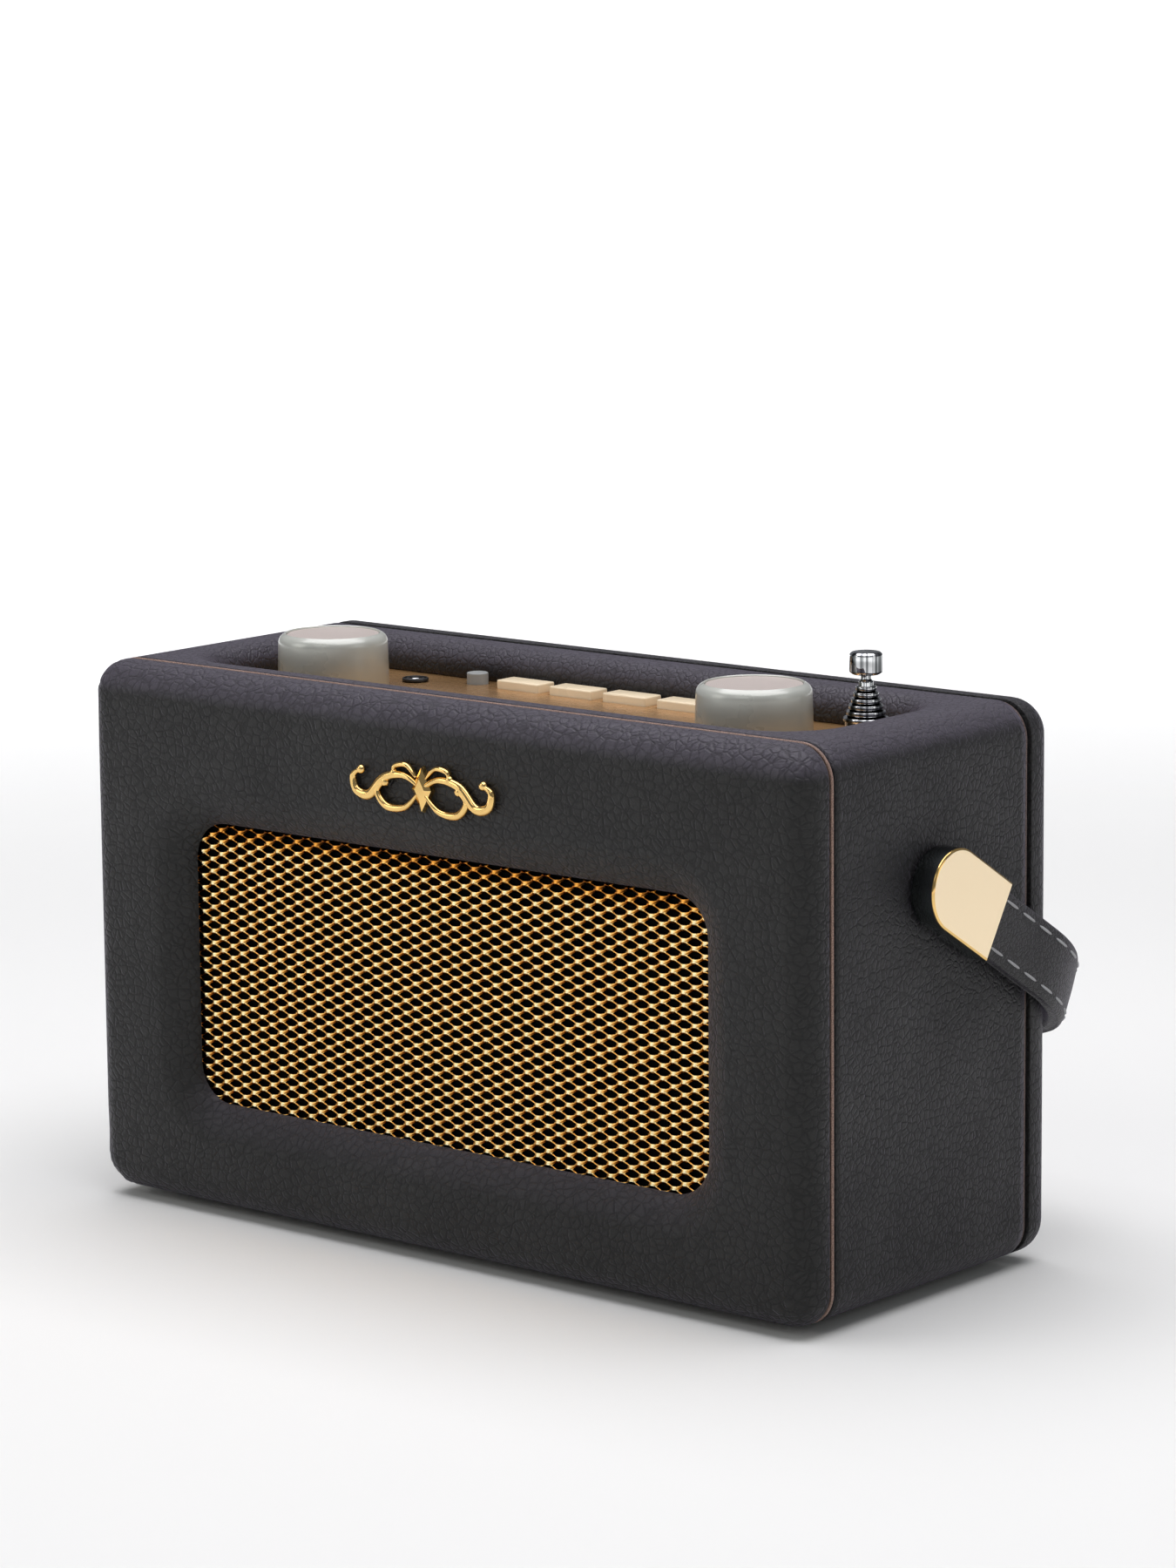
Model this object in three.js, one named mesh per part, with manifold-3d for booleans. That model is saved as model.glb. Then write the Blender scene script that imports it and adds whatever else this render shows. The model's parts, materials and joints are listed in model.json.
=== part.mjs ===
// A leather-covered portable radio with a recessed control well, a telescopic aerial and a
// strap handle that swings over the cabinet.
//
// Millimetres, +Z up. Every piece is placed in the cabinet's own coordinates: X to the right,
// Y = 0 at the front seam and growing towards the back, Z = 0 at the cabinet's underside.
// The last lines move the whole radio so that the centre of its base is the origin.
import * as THREE from 'three';
import { mergeVertices } from 'three/addons/utils/BufferGeometryUtils.js';
import Module from 'manifold-3d';

const wasm = await Module();
wasm.setup();

// ---- Driving dimensions ---------------------------------------------------------------------

const WIDTH = 210;
const HEIGHT = 124.6;
const CORNER = 8; // corner radius seen from the front
const GAP = 0.3; // clearance between pieces that touch

const FRONT_DEPTH = 9; // padded front cover, in front of the front seam
const FRONT_COVER_BACK = -0.9;
const SLEEVE_FRONT = 1; // the leather sleeve starts just behind the piping
const SLEEVE_BACK = 68.6;
const BACK_COVER_FRONT = 70.9;
const BACK_COVER_BACK = 80;
const ROUNDOVER = 6.6; // soft edge round the front and back covers
const COVER_BLANK = 30; // thickness of the round-edged blank that each cover is cut from
const LEATHER = 1.2;
const WALL = 6; // wooden shell
const FOOT_HEIGHT = 2;

const SKIN = LEATHER + GAP + WALL; // leather face to the inside of the shell

const GRILLE_WIDTH = 150;
const GRILLE_HEIGHT = 65.5;
const GRILLE_CENTRE_Z = 56.8;
const GRILLE_CORNER = 9;
const GRILLE_FRONT = -3.7;

// The well, measured on its floor. Its soft lip widens it by LIP on every side at the top.
const WELL_HALF_WIDTH = 88;
const WELL_FRONT = 9.4;
const WELL_BACK = 59.4;
const WELL_CORNER = 12;
const LIP = 5;
const PANEL_TOP = HEIGHT - SKIN - GAP;
const PANEL_THICKNESS = 1.2;
const CHASSIS_TOP = PANEL_TOP - PANEL_THICKNESS - GAP;
const CHASSIS_THICKNESS = 2;
const BOARD_TOP = 104.6;
const BOARD_THICKNESS = 1.6;

const KNOB_X = 61.8;
const KNOB_Y = 28.5;
const KNOB_RADIUS = 12.9;
const KNOB_TOP = 130.2;
const KNOB_SHOULDER = 1.9;
const DISC_RADIUS = 10.5;
const SHAFT_RADIUS = 3;
const SHAFT_TOP = 127.9;

const BUTTON_COUNT = 5;
const BUTTON_PITCH = 15.9;
const BUTTON_WIDTH = 12.6;
const BUTTON_DEPTH = 6;
const BUTTON_HEIGHT = 2; // above the panel
const BUTTON_Y = 55.6;
const FIRST_BUTTON_X = -26.7;
const POWER_X = -41.4;
const POWER_RADIUS = 2.6;
const POWER_HEIGHT = 2.6;
const SWITCH_TOP = BOARD_TOP + 3.6;
const STEM_BOTTOM = SWITCH_TOP + 1.2;

const JACK_X = -55;
const JACK_Y = 49.1;

const AERIAL_X = 81.8;
const AERIAL_Y = 42;
const AERIAL_RADIUS = 4.6;
const AERIAL_STEP = 0.5; // each tube is this much smaller in radius than the one round it
const AERIAL_WALL = 0.25;
const AERIAL_TUBES = 5; // moving tubes between the fixed sleeve and the rod
const AERIAL_TOP = 122.9; // top of the fixed sleeve
const AERIAL_RISE = 1.35; // each tube stands this much above the one round it
const AERIAL_BOTTOM = 16;

const PIVOT_Y = 35.2;
const PIVOT_Z = 89.4;
const HANDLE_ANGLE = -31.5; // degrees below horizontal, folded back
const CAP_INNER = WIDTH / 2 + 0.6;
const CAP_OUTER = 111.6;
const CAP_RADIUS = 9.1;
const CAP_LENGTH = 17.9; // from the pivot to the cut end
const STRAP_OUTER = 110.4;
const STRAP_THICKNESS = 3.6;
const STRAP_WIDTH = 15.6;
const STRAP_EDGE = 0.8; // bevel along the strap's edges
const STRAP_REACH = 76.5; // from the pivot to the far side of the strap
const STRAP_BEND = 35; // outer radius where the strap turns behind the cabinet
const STRAP_START = 3.6;
const BOLT_RADIUS = 2.2;

const DOOR_HALF_WIDTH = 54;
const DOOR_BOTTOM = 10;
const DOOR_TOP = 44;
const DOOR_THICKNESS = 2.5;
const DC_X = 80;
const DC_Z = 27;

const BADGE_FRONT = -FRONT_DEPTH - 2.1;

// ---- Materials ------------------------------------------------------------------------------

function finish(color, roughness, metalness = 0) {
  return new THREE.MeshStandardMaterial({ color, roughness, metalness });
}

const leather = finish(0x2f2e31, 0.62);
const piping = finish(0x8f6a50, 0.45, 0.3);
const wood = finish(0xb08a5c, 0.7);
const gold = finish(0xe9c98e, 0.25, 1);
const mesh = finish(0xd9a85a, 0.35, 1);
const brass = finish(0xb07a3c, 0.18, 1);
const pearl = finish(0xb9ada0, 0.32, 0.4);
const ivory = finish(0xefe4cb, 0.4);
const greyPlastic = finish(0x8e8c88, 0.5);
const blackPlastic = finish(0x161616, 0.5);
const cloth = finish(0x0c0c0c, 0.95);
const chrome = finish(0xdfe3e6, 0.08, 1);
const steel = finish(0x9a9c9f, 0.4, 1);
const board = finish(0x1f4a32, 0.6);
const glass = finish(0x15181a, 0.1);
const rubber = finish(0x1b1b1b, 0.85);
const paper = finish(0x3b3a38, 0.9);
const wrapFilm = finish(0x2f5d8a, 0.4);

// ---- Geometry helpers -----------------------------------------------------------------------

const radio = new THREE.Group();

function add(name, geometry, material, parent = radio) {
  const piece = new THREE.Mesh(geometry, material);
  piece.name = name;
  parent.add(piece);
  return piece;
}

// Closed outline of a rectangle with round corners.
function roundedRect(centreX, centreY, halfWidth, halfHeight, radius, shape = new THREE.Shape()) {
  const left = centreX - halfWidth;
  const right = centreX + halfWidth;
  const bottom = centreY - halfHeight;
  const top = centreY + halfHeight;
  shape.moveTo(left + radius, bottom);
  shape.lineTo(right - radius, bottom);
  shape.absarc(right - radius, bottom + radius, radius, -Math.PI / 2, 0);
  shape.lineTo(right, top - radius);
  shape.absarc(right - radius, top - radius, radius, 0, Math.PI / 2);
  shape.lineTo(left + radius, top);
  shape.absarc(left + radius, top - radius, radius, Math.PI / 2, Math.PI);
  shape.lineTo(left, bottom + radius);
  shape.absarc(left + radius, bottom + radius, radius, Math.PI, 1.5 * Math.PI);
  return shape;
}

function roundedRectHole(...size) {
  return roundedRect(...size, new THREE.Path());
}

// A flat piece cut from a shape, standing on its own z = 0.
function slab(shape, depth, options = {}) {
  return new THREE.ExtrudeGeometry(shape, { depth, bevelEnabled: false, curveSegments: 5, ...options });
}

// A slab with round edges. Its outline keeps its size, and its holes flare at both faces.
function softSlab(shape, depth, radius, bevelSegments = 3, curveSegments = 5) {
  const geometry = slab(shape, depth - 2 * radius, {
    bevelEnabled: true,
    bevelThickness: radius,
    bevelSize: radius,
    bevelOffset: -radius,
    bevelSegments,
    curveSegments,
  });
  return geometry.translate(0, 0, radius);
}

// Turns a slab drawn in (X, Z) so that it lies between y = back - depth and y = back.
function facingFront(geometry, back) {
  return geometry.rotateX(Math.PI / 2).translate(0, back, 0);
}

// Turns a slab drawn in (Y, Z) so that it starts at x and grows towards +X.
function alongX(geometry, x) {
  const turn = new THREE.Matrix4().makeBasis(
    new THREE.Vector3(0, 1, 0), new THREE.Vector3(0, 0, 1), new THREE.Vector3(1, 0, 0));
  return geometry.applyMatrix4(turn).translate(x, 0, 0);
}

function box(x0, x1, y0, y1, z0, z1) {
  return new THREE.BoxGeometry(x1 - x0, y1 - y0, z1 - z0)
    .translate((x0 + x1) / 2, (y0 + y1) / 2, (z0 + z1) / 2);
}

// Round pieces stand on z0 at (x, y); the lying ones run along Y or X.
function post(x, y, z0, z1, radius, segments = 12) {
  return new THREE.CylinderGeometry(radius, radius, z1 - z0, segments)
    .rotateX(Math.PI / 2).translate(x, y, (z0 + z1) / 2);
}

function rodAlongY(x, z, y0, y1, radius, segments = 16) {
  return new THREE.CylinderGeometry(radius, radius, y1 - y0, segments).translate(x, (y0 + y1) / 2, z);
}

function rodAlongX(x0, x1, y, z, radius, segments = 16) {
  return new THREE.CylinderGeometry(radius, radius, x1 - x0, segments)
    .rotateZ(Math.PI / 2).translate((x0 + x1) / 2, y, z);
}

// A turned piece about the Z axis, from its profile's [radius, height] corners.
function turned(profile, segments = 20) {
  const points = profile.map(([radius, height]) => new THREE.Vector2(radius, height));
  return new THREE.LatheGeometry(points, segments).rotateX(Math.PI / 2);
}

// Merges the shared vertices of a closed mesh and drops the triangles that this empties.
function welded(geometry) {
  const bare = geometry.index ? geometry.toNonIndexed() : geometry.clone();
  bare.deleteAttribute('normal');
  bare.deleteAttribute('uv');
  const merged = mergeVertices(bare, 1e-4);
  const corners = merged.index.array;
  const kept = [];
  for (let i = 0; i < corners.length; i += 3) {
    const [a, b, c] = [corners[i], corners[i + 1], corners[i + 2]];
    if (a !== b && b !== c && c !== a) kept.push(a, b, c);
  }
  merged.setIndex(kept);
  return merged;
}

function toSolid(geometry) {
  const merged = welded(geometry);
  return new wasm.Manifold(new wasm.Mesh({
    numProp: 3,
    vertProperties: new Float32Array(merged.attributes.position.array),
    triVerts: new Uint32Array(merged.index.array),
  }));
}

function toGeometry(solid) {
  const result = solid.getMesh();
  const geometry = new THREE.BufferGeometry();
  geometry.setAttribute('position', new THREE.BufferAttribute(result.vertProperties, 3));
  geometry.setIndex(new THREE.BufferAttribute(result.triVerts, 1));
  geometry.computeVertexNormals();
  return geometry;
}

function cut(body, ...tools) {
  return toGeometry(tools.reduce((solid, tool) => solid.subtract(toSolid(tool)), toSolid(body)));
}

function join(body, ...others) {
  return toGeometry(others.reduce((solid, other) => solid.add(toSolid(other)), toSolid(body)));
}

function common(body, other) {
  return toGeometry(toSolid(body).intersect(toSolid(other)));
}

// ---- Outlines that several pieces share -----------------------------------------------------

function cabinetOutline(inset) {
  const radius = Math.max(CORNER - inset, 1.5);
  return roundedRect(0, HEIGHT / 2, WIDTH / 2 - inset, HEIGHT / 2 - inset, radius);
}

function cabinetFrame(outerInset, innerInset) {
  const shape = cabinetOutline(outerInset);
  const radius = Math.max(CORNER - innerInset, 1.5);
  shape.holes.push(
    roundedRectHole(0, HEIGHT / 2, WIDTH / 2 - innerInset, HEIGHT / 2 - innerInset, radius));
  return shape;
}

// The well seen from above, grown outwards by margin.
function wellOutline(margin, path = new THREE.Shape()) {
  return roundedRect(0, (WELL_FRONT + WELL_BACK) / 2, WELL_HALF_WIDTH + margin,
    (WELL_BACK - WELL_FRONT) / 2 + margin, WELL_CORNER + margin, path);
}

function wellPrism(margin, bottom, top) {
  return slab(wellOutline(margin), top - bottom).translate(0, 0, bottom);
}

function pivotHoles(radius) {
  return [rodAlongX(-WIDTH / 2 - 1, -80, PIVOT_Y, PIVOT_Z, radius),
    rodAlongX(80, WIDTH / 2 + 1, PIVOT_Y, PIVOT_Z, radius)];
}

// ---- Cabinet --------------------------------------------------------------------------------

const SLEEVE_LENGTH = SLEEVE_BACK - SLEEVE_FRONT;
const BUSH_RADIUS = 3.6;

// The ring round the well whose rolled edge follows the leather's face, moved in by inset.
function wellRoll(inset) {
  const top = HEIGHT - inset;
  const surround = wellOutline(3 * LIP);
  surround.holes.push(wellOutline(inset, new THREE.Path()));
  const depth = 2 * (HEIGHT - PANEL_TOP);
  return softSlab(surround, depth, LIP - inset).translate(0, 0, top - depth);
}

// The sleeve between the two covers, with the rolled opening of the well in its top wall.
function sleeve(outerInset, innerInset, front, back) {
  const tube = facingFront(slab(cabinetFrame(outerInset, innerInset), back - front), back);
  const rim = common(wellRoll(outerInset), wellPrism(LIP + 0.5, HEIGHT - innerInset, HEIGHT + 1));
  return join(cut(tube, wellPrism(LIP, HEIGHT - 20, HEIGHT + 1)), rim);
}

function cabinetShell() {
  const shell = sleeve(LEATHER + GAP, SKIN, SLEEVE_FRONT, SLEEVE_BACK);
  return cut(shell, ...pivotHoles(BUSH_RADIUS + GAP));
}

// One sheet of leather goes round the shell and rolls over the edge of the well.
function cabinetWrap() {
  const outside = sleeve(0, SKIN, SLEEVE_FRONT, SLEEVE_BACK);
  const inside = sleeve(LEATHER, SKIN + 1, SLEEVE_FRONT - 1, SLEEVE_BACK + 1);
  return cut(outside, inside, ...pivotHoles(BUSH_RADIUS + GAP));
}

// The front cover is padded: soft outer edges, and a lip that rolls in to the grille.
function frontCover() {
  const outline = cabinetOutline(0);
  outline.holes.push(
    roundedRectHole(0, GRILLE_CENTRE_Z, GRILLE_WIDTH / 2, GRILLE_HEIGHT / 2, GRILLE_CORNER));
  const padded = facingFront(softSlab(outline, COVER_BLANK, ROUNDOVER), COVER_BLANK - FRONT_DEPTH);
  const frontPart = common(padded, box(-200, 200, -50, FRONT_COVER_BACK, -50, 200));
  const margin = 3.4;
  const pocketOutline = roundedRect(
    0, GRILLE_CENTRE_Z, GRILLE_WIDTH / 2 + margin, GRILLE_HEIGHT / 2 + margin, 12);
  const pocket = facingFront(slab(pocketOutline, 20), 20 + GRILLE_FRONT - GAP);
  return cut(frontPart, pocket, ...badgePins(0.8 + GAP));
}

// A cord that follows the cabinet's outline and stands out from it by protrusion.
function pipingRing(protrusion, back, depth) {
  return facingFront(slab(cabinetFrame(-protrusion, 3), depth), back);
}

function frontBoard() {
  const plate = cabinetOutline(SKIN + GAP);
  plate.holes.push(new THREE.Path().absarc(0, GRILLE_CENTRE_Z, 33, 0, 2 * Math.PI));
  return facingFront(slab(plate, 4, { curveSegments: 10 }), 5);
}

// The back cover plugs into the shell and carries the battery bay, the power inlet and its screws.
function backCover() {
  const rounded = facingFront(softSlab(cabinetOutline(0), COVER_BLANK, ROUNDOVER), BACK_COVER_BACK);
  const plate = common(rounded, box(-200, 200, BACK_COVER_FRONT, 100, -50, 200));
  const plug = facingFront(slab(cabinetOutline(SKIN + GAP), 4), BACK_COVER_FRONT + 0.5);
  const bayHalfWidth = DOOR_HALF_WIDTH + GAP;
  const bay = box(-bayHalfWidth, bayHalfWidth, 50, 100, DOOR_BOTTOM - GAP, DOOR_TOP + GAP);
  const fingerNotch = rodAlongY(0, DOOR_TOP + 1, BACK_COVER_BACK - 2.5, 100, 8);
  const pegHoles = rodAlongX(-DOOR_HALF_WIDTH - 2.6, DOOR_HALF_WIDTH + 2.6, HINGE_Y, HINGE_Z, 1 + GAP, 12);
  const inlet = rodAlongY(DC_X, DC_Z, 50, 100, 5 + GAP, 20);
  const screwHoles = SCREW_PLACES.flatMap(([, x, z]) => [
    rodAlongY(x, z, 50, 100, 1.6 + GAP, 12),
    rodAlongY(x, z, BACK_COVER_BACK - 2.2 - GAP, 100, 3.2 + GAP, 16),
  ]);
  return cut(join(plate, plug), bay, fingerNotch, pegHoles, inlet, ...screwHoles);
}

function backScrew(x, z) {
  const head = rodAlongY(x, z, BACK_COVER_BACK - 2.2, BACK_COVER_BACK - 0.4, 3.2, 12);
  const shank = rodAlongY(x, z, BACK_COVER_FRONT - 3, BACK_COVER_BACK - 2, 1.6, 8);
  const slotAcross = box(x - 2, x + 2, BACK_COVER_BACK - 1.4, BACK_COVER_BACK, z - 0.4, z + 0.4);
  const slotDown = box(x - 0.4, x + 0.4, BACK_COVER_BACK - 1.4, BACK_COVER_BACK, z - 2, z + 2);
  return cut(join(head, shank), slotAcross, slotDown);
}

function foot(x, y) {
  return turned([[0, -FOOT_HEIGHT], [5.4, -FOOT_HEIGHT], [6, -FOOT_HEIGHT + 0.6], [6, -GAP], [0, -GAP]], 16)
    .translate(x, y, 0);
}

const HINGE_Y = BACK_COVER_BACK - DOOR_THICKNESS / 2;
const HINGE_Z = DOOR_BOTTOM + DOOR_THICKNESS / 2;
const SCREW_PLACES = [
  ['back_screw_top_left', -90, 108],
  ['back_screw_top_right', 90, 108],
  ['back_screw_bottom_left', -90, 15],
  ['back_screw_bottom_right', 90, 15],
];

// ---- Badge: a plain scroll ornament ---------------------------------------------------------

const BADGE_Z = 105.5;
const BADGE_PIN_X = 13;

function badgePins(radius) {
  return [-BADGE_PIN_X, BADGE_PIN_X].map(
    (x) => rodAlongY(x, BADGE_Z, BADGE_FRONT + 0.8, -FRONT_DEPTH + 3, radius, 10));
}

// A band of even width that follows a curve drawn in (X, Z).
function band(curve, halfWidth, steps) {
  const shape = new THREE.Shape();
  const sides = [1, -1].map((side) => curve.getPoints(steps).map((point, i) => {
    const tangent = curve.getTangent(i / steps);
    const taper = halfWidth * (0.35 + 0.65 * Math.sin((Math.PI * (i + 0.5)) / (steps + 1)));
    return new THREE.Vector2(point.x - side * tangent.y * taper, point.y + side * tangent.x * taper);
  }));
  shape.setFromPoints([...sides[0], ...sides[1].reverse()]);
  return facingFront(slab(shape, 1.8), -FRONT_DEPTH - GAP);
}

function badge() {
  const pieces = [];
  for (const side of [-1, 1]) {
    const at = (x, z) => new THREE.Vector2(side * x, BADGE_Z + z);
    pieces.push(band(new THREE.CatmullRomCurve3([
      at(0, 0), at(5, 2.6), at(11, 1.6), at(15.5, -2.6), at(19.5, -2), at(20.5, 1.6), at(17.6, 3.2),
    ].map((p) => new THREE.Vector3(p.x, p.y, 0))), 1.1, 14));
    pieces.push(band(new THREE.CatmullRomCurve3([
      at(1, -1), at(5, -4.6), at(10.5, -5), at(13.4, -1.4), at(10.6, 1.2),
    ].map((p) => new THREE.Vector3(p.x, p.y, 0))), 0.9, 11));
  }
  const lozenge = new THREE.Shape([
    new THREE.Vector2(-3.2, BADGE_Z), new THREE.Vector2(0, BADGE_Z - 5.6),
    new THREE.Vector2(3.2, BADGE_Z), new THREE.Vector2(0, BADGE_Z + 5.6)]);
  const centre = facingFront(slab(lozenge, 1.8), -FRONT_DEPTH - GAP);
  return join(centre, ...pieces, ...badgePins(0.8));
}

// ---- Grille and speaker ---------------------------------------------------------------------

function grillePlate(front, thickness, inset) {
  const overlap = 3 - inset; // hidden behind the edge of the opening
  const shape = roundedRect(
    0, GRILLE_CENTRE_Z, GRILLE_WIDTH / 2 + overlap, GRILLE_HEIGHT / 2 + overlap, 11);
  return facingFront(slab(shape, thickness), front + thickness);
}

function turnedAlongY(profile, segments) {
  return turned(profile, segments).rotateX(-Math.PI / 2).translate(0, 0, GRILLE_CENTRE_Z);
}

function speakerBasket() {
  return turnedAlongY([[32.2, 5.3], [38.5, 5.3], [38.5, 7], [34, 7.6], [25, 21], [22.5, 22], [22.5, 36],
    [0, 36], [0, 22.4], [16, 22.4], [22.5, 19.8], [32.2, 7], [32.2, 5.3]], 24);
}

function speakerCone() {
  return turnedAlongY([[0, 12.6], [5, 13.2], [8.5, 15.6], [28, 6.4], [30, 5.4], [31.6, 5.8], [31.6, 6.4],
    [30, 6.2], [28.4, 7.2], [9, 17.4], [0, 17.4]], 24);
}

// ---- Control well ---------------------------------------------------------------------------

const DISPLAY = { x0: -32, x1: 32, y0: 13.5, y1: 34 };

function presetX(index) {
  return FIRST_BUTTON_X + index * BUTTON_PITCH;
}

function shaftHole(side, radius) {
  return post(side * KNOB_X, KNOB_Y, 90, 140, radius);
}

function buttonHole(x, width, depth, z0, z1) {
  return box(x - width / 2, x + width / 2, BUTTON_Y - depth / 2, BUTTON_Y + depth / 2, z0, z1);
}

function panelHoles() {
  const presets = Array.from({ length: BUTTON_COUNT },
    (_, i) => buttonHole(presetX(i), BUTTON_WIDTH + 2 * GAP, BUTTON_DEPTH + 2 * GAP, 90, 140));
  return [
    shaftHole(-1, 5), shaftHole(1, 5), ...presets,
    post(POWER_X, BUTTON_Y, 90, 140, POWER_RADIUS + GAP),
    post(JACK_X, JACK_Y, 90, 140, 2.6 + GAP),
    post(AERIAL_X, AERIAL_Y, 90, 140, AERIAL_RADIUS + GAP),
  ];
}

function controlPanel() {
  const shape = roundedRect(0, 35, 94, 29, 12);
  const plate = slab(shape, PANEL_THICKNESS).translate(0, 0, PANEL_TOP - PANEL_THICKNESS);
  const window = box(DISPLAY.x0 - GAP, DISPLAY.x1 + GAP, DISPLAY.y0 - GAP, DISPLAY.y1 + GAP, 90, 140);
  return cut(plate, window, ...panelHoles());
}

function panelChassis() {
  const shape = roundedRect(0, 35, 95, 29.4, 6);
  const plate = slab(shape, CHASSIS_THICKNESS).translate(0, 0, CHASSIS_TOP - CHASSIS_THICKNESS);
  const window = box(DISPLAY.x0 + 1, DISPLAY.x1 - 1, DISPLAY.y0 + 1, DISPLAY.y1 - 1, 90, 140);
  const standoffs = [-84, 70].flatMap((x) => [14.5, 57.5].map(
    (y) => post(x, y, BOARD_TOP + GAP, CHASSIS_TOP - 1, 2.2, 12)));
  return join(cut(plate, window, ...panelHoles()), ...standoffs);
}

function displayWindow() {
  return box(DISPLAY.x0, DISPLAY.x1, DISPLAY.y0, DISPLAY.y1,
    PANEL_TOP - PANEL_THICKNESS + 0.1, PANEL_TOP - 0.1);
}

// The display's own module fills the window of the chassis, under the glass.
function displayModule() {
  const margin = 1 + GAP;
  return box(DISPLAY.x0 + margin, DISPLAY.x1 - margin, DISPLAY.y0 + margin, DISPLAY.y1 - margin,
    CHASSIS_TOP - CHASSIS_THICKNESS - 4, CHASSIS_TOP);
}

// A preset button: cap, a flange that keeps it under the chassis, and a stem down to its switch.
function presetButton(x) {
  const outline = roundedRect(x, BUTTON_Y, BUTTON_WIDTH / 2, BUTTON_DEPTH / 2, 0.8);
  const bottom = CHASSIS_TOP - CHASSIS_THICKNESS - 1.2;
  const cap = softSlab(outline, PANEL_TOP + BUTTON_HEIGHT - bottom, 0.45, 1, 1).translate(0, 0, bottom);
  const flangeTop = CHASSIS_TOP - CHASSIS_THICKNESS - GAP;
  const flange = buttonHole(x, BUTTON_WIDTH + 2, BUTTON_DEPTH + 2, flangeTop - 0.9, flangeTop);
  const stem = buttonHole(x, 4, 3, STEM_BOTTOM, flangeTop - 0.5);
  return join(cap, flange, stem);
}

function powerButton() {
  const top = PANEL_TOP + POWER_HEIGHT;
  const flangeTop = CHASSIS_TOP - CHASSIS_THICKNESS - GAP;
  const r = POWER_RADIUS;
  return turned([[0, STEM_BOTTOM], [1.6, STEM_BOTTOM], [1.6, flangeTop - 0.9], [r + 1, flangeTop - 0.9],
    [r + 1, flangeTop], [r, flangeTop], [r, top - 0.5], [r - 0.5, top], [0, top]], 14)
    .translate(POWER_X, BUTTON_Y, 0);
}

// A knob with a soft shoulder, a shallow seat for its disc and a stepped bore from below.
function knob() {
  const bottom = PANEL_TOP + 0.6;
  const r = KNOB_RADIUS;
  const shoulderRadius = r - 0.2 - KNOB_SHOULDER;
  const shoulder = [0, 30, 60, 90].map(THREE.MathUtils.degToRad).map((angle) => [
    shoulderRadius + KNOB_SHOULDER * Math.cos(angle),
    KNOB_TOP - KNOB_SHOULDER * (1 - Math.sin(angle)),
  ]);
  const seatRadius = DISC_RADIUS + 0.25;
  const seatHeight = KNOB_TOP - 1.2;
  return turned([
    [0, SHAFT_TOP + GAP], [SHAFT_RADIUS + GAP, SHAFT_TOP + GAP], [SHAFT_RADIUS + GAP, 121.4], [4.9, 121.4],
    [4.9, bottom], [r - 0.3, bottom], [r, bottom + 0.5], ...shoulder,
    [seatRadius, seatHeight], [0, seatHeight],
  ], 28);
}

function knobDisc() {
  const bottom = KNOB_TOP - 0.9;
  const top = KNOB_TOP - 0.35;
  return turned([[0, bottom], [DISC_RADIUS, bottom], [DISC_RADIUS, top], [0, top]], 28);
}

function knobShaft() {
  return post(0, 0, BOARD_TOP + 1.6, SHAFT_TOP, SHAFT_RADIUS);
}

function encoder() {
  const bore = post(0, 0, BOARD_TOP + 1.2, 140, SHAFT_RADIUS + GAP);
  const body = box(-6.2, 6.2, -6.2, 6.2, BOARD_TOP + GAP, BOARD_TOP + 7);
  return cut(join(body, post(0, 0, BOARD_TOP + 6, 119.6, 4.4)), bore);
}

function headphoneSocket() {
  const bodyTop = CHASSIS_TOP - CHASSIS_THICKNESS - GAP;
  const body = box(JACK_X - 5, JACK_X + 5, JACK_Y - 4, JACK_Y + 4, BOARD_TOP + GAP, bodyTop);
  const neck = post(JACK_X, JACK_Y, BOARD_TOP + 2, PANEL_TOP + 0.6, 2.6);
  const nut = post(JACK_X, JACK_Y, PANEL_TOP + GAP, PANEL_TOP + 0.9, 3.15);
  return cut(join(body, neck, nut), post(JACK_X, JACK_Y, BOARD_TOP + 1.5, 140, 1.75, 16));
}

// The board under the well, with a push switch below each button and the display's connector.
function controlBoard() {
  const plate = box(-88, 74, 10, 62, BOARD_TOP - BOARD_THICKNESS, BOARD_TOP);
  const switches = [POWER_X, ...Array.from({ length: BUTTON_COUNT }, (_, i) => presetX(i))].flatMap((x) => [
    box(x - 3, x + 3, BUTTON_Y - 3, BUTTON_Y + 3, BOARD_TOP - 0.5, BOARD_TOP + 2.8),
    post(x, BUTTON_Y, BOARD_TOP + 2, SWITCH_TOP, 1.7, 10),
  ]);
  return join(plate, ...switches);
}

// The receiver's board, upright in front of the back cover on four pillars.
function mainBoard() {
  const plate = box(-92, -44, 50, 51.6, 48, 99);
  const pillarEnd = BACK_COVER_FRONT - 3.5 - GAP;
  const pillars = [-89, -47].flatMap((x) => [51, 96].map((z) => rodAlongY(x, z, 51, pillarEnd, 2.2, 10)));
  const parts = [
    ...pillars,
    box(-84, -66, 51, 53.4, 70, 88),
    box(-60, -50, 51, 58, 56, 66),
    rodAlongY(-74, 59, 51, 60, 4, 12),
    rodAlongY(-56, 84, 51, 60, 4, 12),
  ];
  return join(plate, ...parts);
}

// ---- Aerial ---------------------------------------------------------------------------------

// A thin tube with a rolled collar at its top end. The bottom end is open unless it is plugged.
function aerialTube(radius, bottom, top, collar, plug) {
  const inner = radius - AERIAL_WALL;
  const foot = plug > 0 ? [[0, bottom], [radius, bottom]] : [[inner, bottom], [radius, bottom]];
  const throat = plug > 0 ? [[inner, bottom + plug], [0, bottom + plug]] : [[inner, bottom]];
  const profile = [...foot, [radius, top - 1.1], [radius + collar, top - 0.8], [radius + collar, top - 0.2],
    [radius, top], [inner, top], ...throat];
  return turned(profile, 12).translate(AERIAL_X, AERIAL_Y, 0);
}

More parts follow.
